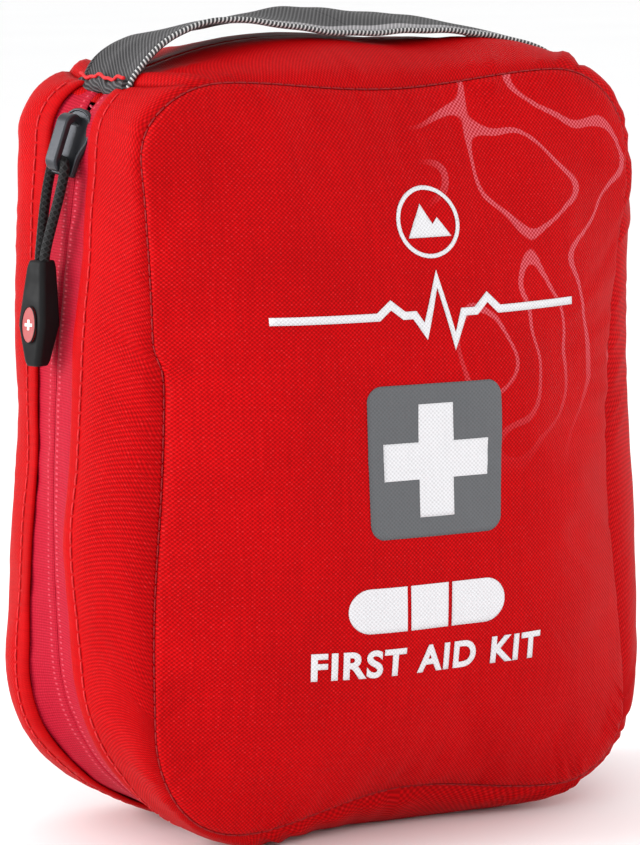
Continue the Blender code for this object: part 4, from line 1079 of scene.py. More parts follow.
def slab(outline, low, high, place, bevel, name, mat, steps=3):
    """An extruded outline with rounded edges. place turns (u, v, level) into a point."""
    count = len(outline)
    verts = [place(u, v, level) for level in (low, high) for u, v in outline]
    faces = [list(range(count))[::-1], list(range(count, 2 * count))]
    faces += [[i, (i + 1) % count, count + (i + 1) % count, count + i] for i in range(count)]
    piece = make_piece(name, verts, faces, mat)
    fix_outward(piece)
    round_edges(piece, bevel, steps, 50)
    return piece


def fix_outward(piece):
    bm = bmesh.new()
    bm.from_mesh(piece.data)
    bmesh.ops.recalc_face_normals(bm, faces=bm.faces)
    if bm.calc_volume(signed=True) < 0:
        bmesh.ops.reverse_faces(bm, faces=bm.faces)
    bm.to_mesh(piece.data)
    bm.free()
    piece.data.set_sharp_from_angle(angle=math.radians(40))


def rounded_outline(low_u, low_v, high_u, high_v, radius, steps=7):
    points = []
    corners = ((high_u, low_v, -1), (high_u, high_v, 0), (low_u, high_v, 1), (low_u, low_v, 2))
    for u, v, quarter in corners:
        cu = u + (-radius if u == high_u else radius)
        cv = v + (-radius if v == high_v else radius)
        points += arc(cu, cv, radius, quarter * QUARTER_TURN, (quarter + 1) * QUARTER_TURN, steps)
        points.append((cu + radius * math.cos((quarter + 1) * QUARTER_TURN),
                       cv + radius * math.sin((quarter + 1) * QUARTER_TURN)))
    return points


def ring_slab(outer, inner, half_width, place, name, mat, bevel):
    """A closed band between two outlines with the same number of points, such as the slider's bridge."""
    count = len(outer)
    verts = []
    for outline in (outer, inner):
        for level in (-half_width, half_width):
            verts += [place(u, v, level) for u, v in outline]
    faces = []
    for i in range(count):
        j = (i + 1) % count
        faces += [[i, j, count + j, count + i], [2 * count + i, 3 * count + i, 3 * count + j, 2 * count + j],
                  [i, 2 * count + i, 2 * count + j, j], [count + i, count + j, 3 * count + j, 3 * count + i]]
    piece = make_piece(name, verts, faces, mat)
    fix_outward(piece)
    round_edges(piece, bevel, 3, 60)
    return piece


def build_slider(paint):
    top = slab(plate_outline(), 0.35, 1.55, on_slider, 0.42, "slider_top_plate", paint)
    settle(top, "zip_slide", "gunmetal", "zip_slider")
    path = [on_slider(u * 0.94, v * 0.93, 1.55) for u, v in plate_outline()]
    verts, faces, uv = tube_mesh(resampled(path + path[:1], 0.5)[:-1], 0.34, 8, closed=True)
    settle(make_piece("slider_rim", verts, faces, paint, uv), "zip_slide", "gunmetal")
    inner = slab([(u * 0.62, v * 0.8) for u, v in plate_outline()], -4.2, -3.3,
                 on_slider, 0.3, "slider_inner_plate", paint)
    settle(inner, "zip_slide", "gunmetal")
    post = slab(rounded_outline(1.0, -0.5, 3.2, 0.5, 0.4, 3), -3.6, 0.7, on_slider,
                0.1, "slider_post", paint)
    settle(post, "zip_slide", "gunmetal")
    outer = rounded_outline(-7.0, 0.5, 6.0, 5.6, 2.5)
    window = rounded_outline(-5.2, 1.3, 4.2, 3.9, 1.25)
    bridge = ring_slab(outer, window, 1.75, lambda u, v, w: on_slider(u, w, v), "slider_bridge", paint, 0.6)
    settle(bridge, "zip_slide", "gunmetal")


HOOK_ALONG, HOOK_OUT = -4.5, 2.7
PULL_STRAND, PULL_MEET, PULL_DROP = 3.7, 1.25, 21.4
GRIP_LENGTH, GRIP_OUT, GRIP_LEAN = 23.0, 4.5, 0.075
GRIP_HALF_WIDTH, GRIP_HALF_DEPTH, GRIP_TURN = 4.0, 2.9, math.radians(20.0)
GRIP_CHAMFER, GRIP_SIDES = 0.75, 8
# Down the grip: place from 0 to 1, and shares of its half-width and half-depth.
GRIP_SECTIONS = ((0.0, 0.6, 0.72), (0.07, 0.68, 0.84), (0.56, 1.0, 1.0), (0.62, 1.0, 1.0),
                 (0.95, 0.6, 0.76), (1.0, 0.52, 0.6))
BADGE_HALF_WIDTH, BADGE_HALF_HEIGHT, BADGE_DOWN = 2.15, 4.0, 0.6
BADGE_LOW, BADGE_HIGH = -0.3, 0.28
CORD_RADIUS = 1.12


def build_pull(cord_mat, grip_mat, badge_mat, white):
    hook_x, _, hook_z = on_slider(HOOK_ALONG, 0.0, HOOK_OUT)
    grip_x, grip_top = hook_x - GRIP_OUT, hook_z - PULL_DROP
    path = []
    for side in (-1, 1):
        run = []
        for t in np.linspace(-0.12, 0.93, 14):
            ease = min(max(t, 0.0), 1.0)
            ease = ease * ease * (3 - 2 * ease)
            bow = 0.5 * math.sin(math.pi * max(t, 0)) * side
            y = side * (PULL_MEET + (PULL_STRAND - PULL_MEET) * ease) + bow
            run.append((grip_x + GRIP_OUT * max(t, 0.0) ** 1.15, y, grip_top + (PULL_DROP - 1.3) * t))
        run.append((hook_x + 0.05, side * (PULL_STRAND - 0.25), hook_z - 0.55))
        run.append((hook_x + 0.05, side * PULL_MEET, hook_z + 0.15))
        path = path + run if side < 0 else path + [(hook_x + 0.05, 0, hook_z + 0.3)] + run[::-1]
    smooth = resampled(path, 0.35)
    for _ in range(6):
        smooth[1:-1] = (smooth[:-2] + 2 * smooth[1:-1] + smooth[2:]) / 4
    verts, faces, uv = tube_mesh(smooth, CORD_RADIUS, 20)
    settle(make_piece("pull_cord_braid", verts, faces, cord_mat, uv), "zip_pull", "black_plastic",
           "pull_cord")
    build_grip(grip_x, grip_top, grip_mat, badge_mat, white)


def grip_point(out, across, down, grip_x, grip_top):
    """A point of the grip, which hangs turned a little about its length. down runs from 0 to 1."""
    x = out * math.cos(GRIP_TURN) + across * math.sin(GRIP_TURN)
    y = across * math.cos(GRIP_TURN) - out * math.sin(GRIP_TURN)
    return (grip_x - GRIP_LEAN * GRIP_LENGTH * down + x, -y, grip_top - GRIP_LENGTH * down)


def build_grip(grip_x, grip_top, grip_mat, badge_mat, white):
    verts = []
    cut = GRIP_CHAMFER
    for down, width, depth in GRIP_SECTIONS:
        w, d = GRIP_HALF_WIDTH * width, GRIP_HALF_DEPTH * depth
        ring = ((-d, -w + cut), (-d + cut, -w), (d - cut, -w), (d, -w + cut),
                (d, w - cut), (d - cut, w), (-d + cut, w), (-d, w - cut))
        verts += [grip_point(x, y, down, grip_x, grip_top) for x, y in ring]
    faces = grid_faces(len(GRIP_SECTIONS), GRIP_SIDES, wrap=True)
    last = (len(GRIP_SECTIONS) - 1) * GRIP_SIDES
    faces += [list(range(GRIP_SIDES)), [last + i for i in range(GRIP_SIDES)]]
    grip = make_piece("grip_moulding", verts, faces, grip_mat)
    fix_outward(grip)
    bevel = grip.modifiers.new("Bevel", "BEVEL")
    bevel.width, bevel.segments = 0.42 * MM, 3
    settle(grip, "zip_pull", "black_plastic", "pull_grip")
    turn = [FULL_TURN * i / 40 for i in range(40)]

    def on_face(u, v, level):
        return grip_point(-GRIP_HALF_DEPTH - level, u, BADGE_DOWN - v / GRIP_LENGTH, grip_x, grip_top)

    oval = [(BADGE_HALF_WIDTH * math.cos(a), BADGE_HALF_HEIGHT * math.sin(a)) for a in turn]
    badge = slab(oval, BADGE_LOW, BADGE_HIGH, on_face, 0.14, "badge_oval", badge_mat, 2)
    settle(badge, "zip_pull", "red_badge", "pull_badge")
    rim = [on_face(u, v, BADGE_HIGH) for u, v in oval]
    verts, faces, uv = tube_mesh(rim, 0.2, 6, closed=True)
    settle(make_piece("badge_rim", verts, faces, grip_mat, uv), "zip_pull", "black_plastic")
    plus = cross_outline(1.15, 0.34)
    settle(slab(plus, 0.2, 0.36, on_face, 0.04, "badge_plus", white, 1), "zip_pull", "white_print")


# ---------------------------------------------------------------- handle

# Along the strap: x, z, half of its width, and how far its front edge is turned down.
STRAP = (
    (-55.2, 166.4, 12.0, 0.0), (-54.2, 169.4, 12.1, 0.0), (-51.8, 173.2, 12.2, 0.0),
    (-48.5, 176.1, 12.3, -0.02), (-44.0, 178.5, 12.4, -0.06), (-38.0, 180.1, 12.5, -0.12),
    (-31.0, 181.0, 12.6, -0.13), (-20.0, 181.3, 12.7, 0.02), (-9.0, 181.2, 12.7, 0.15),
    (4.0, 180.8, 12.7, 0.16), (16.0, 180.1, 12.6, 0.13), (28.0, 178.9, 12.5, 0.09),
    (37.0, 177.0, 12.4, 0.06), (44.0, 174.9, 12.3, 0.04), (49.5, 172.2, 12.2, 0.02),
    (53.2, 169.2, 12.1, 0.0), (55.2, 164.8, 12.0, 0.0),
)
STRAP_WIDTH, STRAP_THICK, STRAP_STEP = 12.7, 1.3, 0.8


def smooth_curve(knots, step):
    """Points a given step apart on a smooth curve through the knots. Distance is measured in x and z."""
    knots = np.asarray(knots, float)
    run = np.concatenate([[0.0], np.cumsum(np.linalg.norm(np.diff(knots[:, :2], axis=0), axis=1))])
    slopes = np.gradient(knots, run, axis=0)
    at = np.linspace(0, run[-1], int(run[-1] / step) + 1)
    k = np.clip(np.searchsorted(run, at) - 1, 0, len(run) - 2)
    h = (run[k + 1] - run[k])[:, None]
    t = (at - run[k])[:, None] / h
    curve = (2 * t ** 3 - 3 * t ** 2 + 1) * knots[k] + (t ** 3 - 2 * t ** 2 + t) * h * slopes[k]
    curve = curve + (3 * t ** 2 - 2 * t ** 3) * knots[k + 1]
    curve = curve + (t ** 3 - t ** 2) * h * slopes[k + 1]
    return curve, at - run[-1] / 2


STRAP_LINE, STRAP_RUN = smooth_curve(STRAP, STRAP_STEP)


def strap_rows(across_values, drop=0.0, stretch=1.0):
    """Points of the strap at each place along it and across it, from -1 at the front edge to 1."""
    rows = []
    for (x, z, half, tilt), s in zip(STRAP_LINE, STRAP_RUN):
        row = []
        for across in across_values:
            y = across * half * stretch
            ripple = 0.28 * math.sin(s * 0.19 + 2.0 * across) + 0.13 * math.sin(s * 0.53 - 1.5 * across)
            gather = 0.55 * math.sin(across * 7.5 + 0.4) * min(max((abs(s) - 44.0) / 14.0, 0.0), 1.0)
            roll = -0.5 * across * across
            lift = (ripple + roll) * (1 - min(abs(s) / 80, 1)) + gather - drop
            lean = min(max((abs(s) - 52.0) / 18.0, 0.0), 1.0)
            row.append((x + math.copysign(lift * lean, x), y, z + y * tilt + lift * (1 - lean)))
        rows.append(row)
    return np.array(rows)


def swing_with_handle(piece, side, slot, *nodes):
    """Bakes the strap piece's placement into its mesh, and hides the nodes that it stands for."""
    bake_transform(piece)
    return settle(piece, None, slot, *nodes)


def strap_half(side):
    inside = STRAP_RUN * side >= -STRAP_STEP / 2
    return np.nonzero(inside)[0]


def build_handle(webbing, picot, red_edge):
    across = np.linspace(-1, 1, 17)
    rows = strap_rows(across)
    for side, end in ((-1, "left"), (1, "right")):
        pick = strap_half(side)
        uv = [(STRAP_RUN[i], v * STRAP_WIDTH) for i in pick for v in across]
        piece = make_piece("handle_webbing_" + end, rows[pick].reshape(-1, 3),
                           grid_faces(len(pick), len(across), flip=True), webbing, uv)
        thicken(piece, STRAP_THICK, -1.0)
        nodes = ("handle_strap",) if side < 0 else ()
        swing_with_handle(piece, side, "grey_webbing", "handle_end_" + end, *nodes)
        for edge, way, mat in (("front", -1, picot), ("rear", 1, webbing)):
            path = strap_rows([way], drop=STRAP_THICK * 0.45, stretch=1.01)[pick][:, 0]
            verts, faces, tube_uv = tube_mesh(path, 0.6, 10)
            tube_uv[:, 0] += STRAP_RUN[pick[0]]
            piece = make_piece("handle_edge_%s_%s" % (edge, end), verts, faces, mat, tube_uv)
            swing_with_handle(piece, side, "grey_webbing")
        build_strap_end(side, end, webbing, red_edge)


def build_strap_end(side, end, webbing, red_edge):
    """The strap's gathered raw end, sewn down at the cross seam, with a wavy red binding over it."""
    x, z, half, _ = STRAP_LINE[0 if side < 0 else -1]
    across = np.linspace(-1, 1, 25)
    turns = np.linspace(0, FULL_TURN, 17)[:-1]
    verts, uv = [], []
    for v in across:
        wave = 0.45 * math.sin(v * 6.2 + 0.8) + 0.25 * math.sin(v * 13 + 2.0)
        squeeze = 1 - 0.25 * abs(v) ** 3
        for a in turns:
            out, up = 1.35 * squeeze * math.cos(a), 1.8 * squeeze * math.sin(a)
            verts.append((x + side * (out + 0.3), v * (half - 0.2), z + 1.0 + up + wave))
            uv.append((up, v * 8.0))
    faces = grid_faces(len(across), len(turns), wrap=True, flip=side > 0)
    faces += [list(range(len(turns)))[::-1 if side < 0 else 1],
              [len(verts) - len(turns) + i for i in range(len(turns))]]
    piece = make_piece("handle_bundle_" + end, verts, faces, webbing, uv)
    fix_outward(piece)
    settle(piece, "top_strip", "grey_webbing")
    path = []
    for v in np.linspace(-1.02, 1.02, 41):
        wave = 0.4 * math.sin(v * 6.2 + 0.8) + 0.2 * math.sin(v * 15)
        path.append((x + side * 0.6, v * (half - 0.6), z + 3.2 + wave))
    verts, faces, tube_uv = tube_mesh(path, 0.4, 8)
    settle(make_piece("handle_stay_" + end, verts, faces, red_edge, tube_uv), "top_strip", "red_thread")


# ---------------------------------------------------------------- camera, lights and floor

VIEW_AZIMUTH, VIEW_ELEVATION, VIEW_ROLL = math.radians(-27.0), math.radians(7.8), math.radians(-1.0)
VIEW_DISTANCE, VIEW_LENS, VIEW_HEIGHT = 0.903, 170.16, 89.5
VIEW_SHIFT_X = -0.0201


def build_camera():
    data = bpy.data.cameras.new("camera")
    data.lens, data.sensor_width, data.shift_x = VIEW_LENS, 36.0, VIEW_SHIFT_X
    data.clip_start, data.clip_end = 0.01, 20.0
    camera = bpy.data.objects.new("camera", data)
    bpy.context.scene.collection.objects.link(camera)
    a, e = VIEW_AZIMUTH, VIEW_ELEVATION
    back = Vector((math.sin(a) * math.cos(e), -math.cos(a) * math.cos(e), math.sin(e)))
    target = Vector((SHIFT[0], SHIFT[1], VIEW_HEIGHT)) * MM
    camera.rotation_mode = "QUATERNION"
    camera.location = target + back * VIEW_DISTANCE
    camera.rotation_quaternion = (-back).to_track_quat("-Z", "Y") @ Quaternion((0, 0, 1), VIEW_ROLL)
    bpy.context.scene.camera = camera


def area_light(name, place, target, size, power, tone=(1, 1, 1)):
    data = bpy.data.lights.new(name, "AREA")
    data.shape, data.size, data.size_y, data.energy, data.color = "RECTANGLE", size[0], size[1], power, tone
    light = bpy.data.objects.new(name, data)
    bpy.context.scene.collection.objects.link(light)
    light.location = place
    light.rotation_euler = (Vector(target) - Vector(place)).to_track_quat("-Z", "Y").to_euler()


def build_studio():
    area_light("key", (-0.5, -1.25, 0.8), (0, 0, 0.09), (0.7, 0.7), 4.0)
    area_light("fill", (1.2, -0.8, 0.5), (0, 0, 0.08), (0.6, 0.9), 4.8)
    area_light("left", (-1.25, 0.4, 0.5), (0, 0, 0.08), (0.6, 0.8), 17.0)
    area_light("top", (0.0, 0.2, 1.3), (0, 0, 0.1), (0.9, 0.9), 0.9)
    world = bpy.data.worlds.new("studio")
    world.use_nodes = True
    world.node_tree.nodes["Background"].inputs[0].default_value = (1, 1, 1, 1)
    world.node_tree.nodes["Background"].inputs[1].default_value = 1.04
    bpy.context.scene.world = world
    bpy.context.scene.view_settings.view_transform = "Standard"


def build_floor():
    """Pale paper, wide enough to reach past the camera's view."""
    rings, spokes = (0.0, 0.3, 0.8, 2.0, 6.0, 20.0, 60.0), 32
    verts = [(r * math.cos(FULL_TURN * k / spokes), r * math.sin(FULL_TURN * k / spokes), 0.0)
             for r in rings[1:] for k in range(spokes)]
    faces = [list(range(spokes))]
    for row in range(len(rings) - 2):
        for k in range(spokes):
            a, b = row * spokes + k, row * spokes + (k + 1) % spokes
            faces.append([a, a + spokes, b + spokes, b])
    mesh = bpy.data.meshes.new("floor")
    mesh.from_pydata(verts, [], faces)
    graph = Graph("studio_paper", Roughness=0.8, Specular_IOR_Level=0.2)
    cloud = graph.noise(graph.place(), 3.0, 3.0)
    graph.colour(graph.mix(cloud, (0.93, 0.93, 0.935), (0.96, 0.96, 0.96)))
    mesh.materials.append(graph.material)
    floor = bpy.data.objects.new("floor", mesh)
    bpy.context.scene.collection.objects.link(floor)


# ---------------------------------------------------------------- more materials

def webbing_cloth():
    """Dark grey twill webbing with a pale band near its front edge, darkened as painted shade towards the
    left end and faded out towards the right end.
    """
    graph = Graph("grey_webbing", Roughness=0.6, Specular_IOR_Level=0.2)
    uv = graph.uv()
    u, v, _ = graph.split(uv)
    lean = graph.plus(u, graph.times(v, -0.55))
    rib = graph.ramp(graph.sine(lean, FULL_TURN / 0.95), -0.6, 0.9)
    thread = graph.ramp(graph.sine(v, FULL_TURN / 0.5), -0.9, 0.9)
    fleck = graph.noise(graph.scaled(uv, 0.9, 2.4), 1.0, 2.0)
    height = graph.plus(graph.times(rib, 0.75), graph.times(thread, 0.3))
    tone = graph.ramp(graph.plus(height, graph.times(fleck, 0.5)), 0.25, 1.35)
    dark = graph.mix(tone, (0.01, 0.01, 0.011), (0.09, 0.087, 0.09))
    pale = graph.mix(tone, (0.17, 0.165, 0.17), (0.4, 0.385, 0.4))
    # The pale band is darkened towards the left end (u from -22 down to -44) as painted shade, where the
    # strap lies in shadow; it also fades out over u from 40 to 50
    pale_band_and_painted_shade = graph.times(graph.ramp(v, -9.2, -8.6, 1.0, 0.0), graph.ramp(u, -44.0, -22.0, 0.1, 1.0))
    graph.colour(graph.mix(graph.times(pale_band_and_painted_shade, graph.ramp(u, 40.0, 50.0, 1.0, 0.2)), dark, pale))
    graph.bump(height, 0.2, 0.9)
    return graph.material


def picot_cloth():
    """Woven edge of black and white loops."""
    graph = Graph("strap_edge", Roughness=0.6)
    uv = graph.uv()
    u, v, _ = graph.split(uv)
    dash = graph.ramp(graph.sine(graph.plus(u, graph.times(v, 0.16)), FULL_TURN / 0.95), 0.05, 0.5)
    fleck = graph.noise(graph.scaled(uv, 3.0, 1.0), 1.0, 2.0)
    pale = graph.mix(fleck, (0.3, 0.3, 0.3), (0.7, 0.69, 0.68))
    graph.colour(graph.mix(dash, (0.018, 0.018, 0.02), pale))
    graph.bump(dash, 0.25, 0.9)
    return graph.material


def braid():
    """Black braided cord."""
    graph = Graph("black_braid", Roughness=0.6, Specular_IOR_Level=0.2)
    uv = graph.uv()
    u, v, _ = graph.split(uv)
    turn = graph.times(v, 4.0)
    one = graph.math("SINE", graph.plus(graph.times(u, 4.6), turn))
    two = graph.math("SINE", graph.math("SUBTRACT", graph.times(u, 4.6), turn))
    height = graph.ramp(graph.math("MAXIMUM", one, two), -0.2, 1.0)
    fleck = graph.noise(graph.scaled(uv, 4.0, 3.0), 1.0, 2.0)
    tone = graph.times(height, graph.ramp(fleck, 0.2, 0.8, 0.6, 1.0))
    graph.colour(graph.mix(tone, (0.002, 0.002, 0.002), (0.02, 0.02, 0.021)))
    graph.bump(height, 0.25, 0.9)
    return graph.material


def plastic(name, rgb, roughness=0.42, texture=0.02, specular=0.5):
    """Moulded plastic with a fine spark-eroded texture and a little handling wear."""
    graph = Graph(name, Specular_IOR_Level=specular)
    place = graph.place_mm()
    grain = graph.noise(place, 3.0, 3.0)
    cloud = graph.noise(place, 0.25, 3.0)
    graph.colour(graph.mix(cloud, shade(rgb, 0.86), shade(rgb, 1.14)))
    graph.rough(graph.ramp(cloud, 0.3, 0.7, roughness - 0.06, roughness + 0.08))
    graph.bump(grain, texture, 0.7)
    return graph.material


def metal(name, rgb, roughness=0.3, metallic=1.0, brushed=0.0):
    graph = Graph(name, Metallic=metallic)
    place = graph.place_mm()
    grain = graph.noise(graph.scaled(graph.place(), 9000.0, 1500.0, 700.0 if brushed else 9000.0), 0.3, 3.0)
    cloud = graph.noise(place, 0.3, 3.0)
    graph.colour(graph.mix(cloud, shade(rgb, 0.85), shade(rgb, 1.12)))
    graph.rough(graph.ramp(graph.mix(0.5, cloud, grain), 0.3, 0.7, roughness - 0.07, roughness + 0.1))
    graph.bump(grain, 0.02 + 0.03 * brushed, 0.5)
    return graph.material


def build_outside():
    panel_cloth = red_cloth("red_panel", contour=True)
    plain_cloth = red_cloth("red_plain")
    wall_cloth = red_cloth("red_wall", ribbed=True, tone=0.97)
    red_thread = thread_material("red_thread", (0.6, 0.012, 0.016))
    panel = panel_piece("front_panel_cloth", -1, panel_cloth)
    settle(panel, "front_half", "red_polyester", "front_panel")
    settle(panel_piece("rear_panel_cloth", 1, plain_cloth), "rear_half", "red_polyester", "rear_panel")
    build_walls(wall_cloth)
    build_cross_seams(plain_cloth)
    # Seam stitches in a red much darker than the other thread: real stitches that also serve as painted shade
    # along the panel seams
    seam_stitch_and_painted_shade = thread_material("dark_red_thread", (0.27, 0.002, 0.004))
    for side, half in ((-1, "front"), (1, "rear")):
        build_seam(side, half, seam_stitch_and_painted_shade)
    build_stitching(red_thread)
    build_prints(panel, ink("white_ink", (0.64, 0.635, 0.655)), ink("grey_ink", (0.094, 0.097, 0.104)))
    build_zip_tapes(zip_tape_cloth(), thread_material("crimson_coil", (0.52, 0.03, 0.07), 0.35))
    black = plastic("black_rubber", (0.004, 0.004, 0.0045), 0.55, 0.03, 0.16)
    build_slider(metal("slider_paint", (0.03, 0.032, 0.038), 0.34, 0.6))
    build_pull(braid(), black, plastic("badge_red", (0.3, 0.008, 0.008), 0.35),
               plastic("badge_white", (0.75, 0.74, 0.72)))
    build_handle(webbing_cloth(), picot_cloth(), red_thread)


# ---------------------------------------------------------------- contents

def node_box(node):
    """Lowest and highest corners of a CAD node, in the case's frame."""
    low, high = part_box(node)
    return np.array(low) / MM - SHIFT, np.array(high) / MM - SHIFT


def body_name(node):
    return frame["nodes"][node]["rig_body"]


def cotton(name, rgb, pitch, ribs=0.0):
    """Open crepe or woven cotton, with ribs across its length."""
    graph = Graph(name, Roughness=0.85, Specular_IOR_Level=0.15)
    place = graph.place_mm()
    x, y, z = graph.split(place)
    thread = graph.times(graph.sine(x, math.pi / pitch), graph.sine(graph.plus(y, z), math.pi / pitch))
    rib = graph.ramp(graph.sine(x, FULL_TURN / 1.7), -1.0, 1.0)
    height = graph.plus(graph.ramp(thread, -0.9, 0.9), graph.times(rib, ribs))
    fluff = graph.noise(place, 1.3, 4.0)
    tone = graph.ramp(graph.plus(height, fluff), 0.3, 1.9)
    graph.colour(graph.mix(tone, shade(rgb, 0.66), shade(rgb, 1.03)))
    graph.bump(graph.plus(height, fluff), 0.2, 0.8)
    return graph.material


def paper(name, rgb, mark, band=0.0, gloss=0.55):
    """Creased paper wrapper, printed with a coloured band and a plain cross. UV runs from -1 to 1."""
    graph = Graph(name, Specular_IOR_Level=0.3, Roughness=gloss)
    uv = graph.uv()
    u, v, _ = graph.split(uv)
    place = graph.place_mm()
    crease = graph.noise(place, 0.16, 4.0, 0.6)
    fibre = graph.noise(place, 2.0, 3.0)
    base = graph.mix(fibre, shade(rgb, 0.9), shade(rgb, 1.02))
    au, av = graph.math("ABSOLUTE", u), graph.math("ABSOLUTE", v)
    upright = graph.times(graph.ramp(au, 0.09, 0.11, 1.0, 0.0), graph.ramp(av, 0.2, 0.215, 1.0, 0.0))
    level = graph.times(graph.ramp(au, 0.29, 0.31, 1.0, 0.0), graph.ramp(av, 0.06, 0.075, 1.0, 0.0))
    cross = graph.math("MAXIMUM", upright, level)
    top = graph.ramp(v, 0.62, 0.64) if band else None
    print_area = cross if top is None else graph.math("MAXIMUM", cross, top)
    graph.colour(graph.mix(graph.times(print_area, 0.9), base, mark))
    graph.bump(graph.plus(graph.times(crease, 2.0), fibre), 0.25, 0.7)
    return graph.material


def pack(node, mat, slot, seal=3.0, crimp=1.1, bulge=4.0, wave=0.25, cells=(34, 44), suffix="_pack"):
    """A flat wrapper that fills a node's box: a bulging middle, and a thin crimped seal all round."""
    low, high = node_box(node)
    centre, half = (low + high) / 2, (high - low) / 2
    nu, nv = cells
    seed = sum(map(ord, node))
    verts, uv, faces = [], [], []
    for face in (-1, 1):
        for j in range(nv + 1):
            for i in range(nu + 1):
                u, v = -1 + 2 * i / nu, -1 + 2 * j / nv
                x, z = u * half[0], v * half[2]
                in_x, in_z = (half[0] - abs(x)) / seal, (half[2] - abs(z)) / seal
                inside = min(in_x, in_z)
                fill = min(max(inside - 0.85, 0.0) / bulge * 2.0, 1.0)
                fill = math.sin(fill * QUARTER_TURN) ** 0.8
                crinkle = wave * float(swell(np.array([[x, seed, z]]), 15, seed)[0]) * fill
                along = z if in_z < in_x else x
                ridge = 0.16 * math.sin(FULL_TURN * along / crimp) if inside < 0.9 else 0.0
                thick = 0.12 + (half[1] - 0.3) * fill
                y = centre[1] + face * min(max(thick + crinkle * 0.5, 0.1), half[1]) + ridge
                verts.append((centre[0] + x, y, centre[2] + z))
                uv.append((u, v))
        base = 0 if face < 0 else (nu + 1) * (nv + 1)
        faces += [[base + k for k in f] for f in grid_faces(nv + 1, nu + 1, flip=face > 0)]
    rim = [i for i in range(nu)] + [i * (nu + 1) + nu for i in range(nv)]
    rim += [nv * (nu + 1) + nu - i for i in range(nu)] + [(nv - i) * (nu + 1) for i in range(nv)]
    size = (nu + 1) * (nv + 1)
    faces += [[rim[k], rim[(k + 1) % len(rim)], size + rim[(k + 1) % len(rim)], size + rim[k]]
              for k in range(len(rim))]
    piece = make_piece(node + suffix, verts, faces, mat, uv)
    fix_outward(piece)
    return settle(piece, body_name(node), slot, node)


def wound_roll(node, mat, slot, turns, inner, thickness, suffix="_roll"):
    """A bandage or tape wound on itself: its spiral shows at both ends."""
    low, high = node_box(node)
    centre, half = (low + high) / 2, (high - low) / 2
    outer = min(half[1], half[2]) - 0.15
    steps = int(turns * 30)
    widths = np.linspace(-half[0], half[0], 9)
    verts, uv = [], []
    for i in range(steps + 1):
        t = i / steps
        radius = inner + (outer - inner) * t - thickness / 2
        angle = FULL_TURN * turns * t
        for w in widths:
            fray = 0.16 * math.sin(angle * 5.3 + w) * (abs(w) / half[0]) ** 6
            r = radius + 0.08 * math.sin(angle * 2.1 + w * 0.4)
            verts.append((centre[0] + w * (1 - 0.006 * (1 + math.sin(angle * 3.7))) + fray,
                          centre[1] + r * math.cos(angle), centre[2] + r * math.sin(angle)))
            uv.append((angle * radius, w))
    piece = make_piece(node + suffix, verts, grid_faces(steps + 1, len(widths)), mat, uv)
    thicken(piece, thickness)
    return settle(piece, body_name(node), slot, node)


def pocket_points(low, high, depth_sign, cells, gather=0.35, mouth=0.35):
    """A bellows pocket's face: flat at the sides and the bottom, and standing out to its mouth."""
    nu, nv = cells
    back, face = (low[1], high[1]) if depth_sign > 0 else (high[1], low[1])
    rows = []
    for j in range(nv + 1):
        v = j / nv
        row = []
        for i in range(nu + 1):
            u = -1 + 2 * i / nu
            across = (1 - abs(u) ** 16.0) ** 0.5
            upward = 1 - (1 - min(v / 0.14, 1.0)) ** 3.0
            full = across * upward
            slack = gather * math.sin(u * 21 + 2.4 * v) * (v ** 3) * (1 - abs(u) ** 4)
            crinkle = 0.25 * float(swell(np.array([[u * 50, 5.0, v * 50]]), 17, 41)[0]) * full
            y = back + (face - back) * min(full, 1.0) * (0.97 - 0.04 * abs(math.sin(3 * u)))
            x = (low[0] + high[0]) / 2 + u * (high[0] - low[0]) / 2 * (1 - mouth * 0.02 * v)
            row.append((x, y - depth_sign * abs(slack + crinkle) * 0.6, low[2] + (high[2] - low[2]) * v))
        rows.append(row)
    return np.array(rows)


def flat_uv(grid):
    return [(p[0], p[2]) for p in grid.reshape(-1, 3)]


def pocket_piece(node, mat, slot, depth_sign, cells=(60, 40), thickness=0.45, net=0.0):
    low, high = node_box(node)
    if net:
        low[1] += 5.5
    grid = pocket_points(low, high, depth_sign, cells)
    rows, cols = grid.shape[:2]
    uv = flat_uv(grid)
    if net:
        verts, faces = net_mesh(grid)
        piece = make_piece(node + "_net", verts, faces, mat, verts[:, [0, 2]])
        wires = piece.modifiers.new("Net", "WIREFRAME")
        wires.thickness, wires.use_replace = net * MM, True
    else:
        piece = make_piece(node + "_cloth", grid.reshape(-1, 3), grid_faces(rows, cols, flip=depth_sign < 0),
                           mat, uv, thickness)
    settle(piece, body_name(node), slot, node)
    return grid[-1]


def net_mesh(grid):
    """Diamond-shaped holes between the grid's points."""
    rows, cols = grid.shape[:2]
    verts = grid.reshape(-1, 3)
    faces = []
    for r in range(1, rows - 1):
        for c in range(1, cols - 1):
            if (r + c) % 2 == 0:
                faces.append([(r - 1) * cols + c, r * cols + c + 1, (r + 1) * cols + c, r * cols + c - 1])
    return verts, faces


def hem_piece(node, edge, mat, slot, half_height=1.35, half_depth=0.62):
    """A folded binding or elastic along a pocket's mouth."""
    centre = edge.mean(0)
    low, high = node_box(node)
    lift = (low[2] + high[2]) / 2 - centre[2]
    path = edge + np.array([0, 0, lift])
    turn = np.linspace(0, FULL_TURN, 13)[:-1]
    verts, uv = [], []
    run = 0.0
    for k, p in enumerate(path):
        run += np.linalg.norm(p - path[k - 1]) if k else 0.0
        squeeze = 1 + 0.06 * math.sin(run * 2.4)
        for a in turn:
            verts.append((p[0], p[1] + half_depth * math.cos(a) * squeeze, p[2] + half_height * math.sin(a)))
            uv.append((run, half_height * a))
    piece = make_piece(node + "_binding", verts, grid_faces(len(path), len(turn), wrap=True), mat, uv)
    fix_outward(piece)
    settle(piece, body_name(node), slot, node)


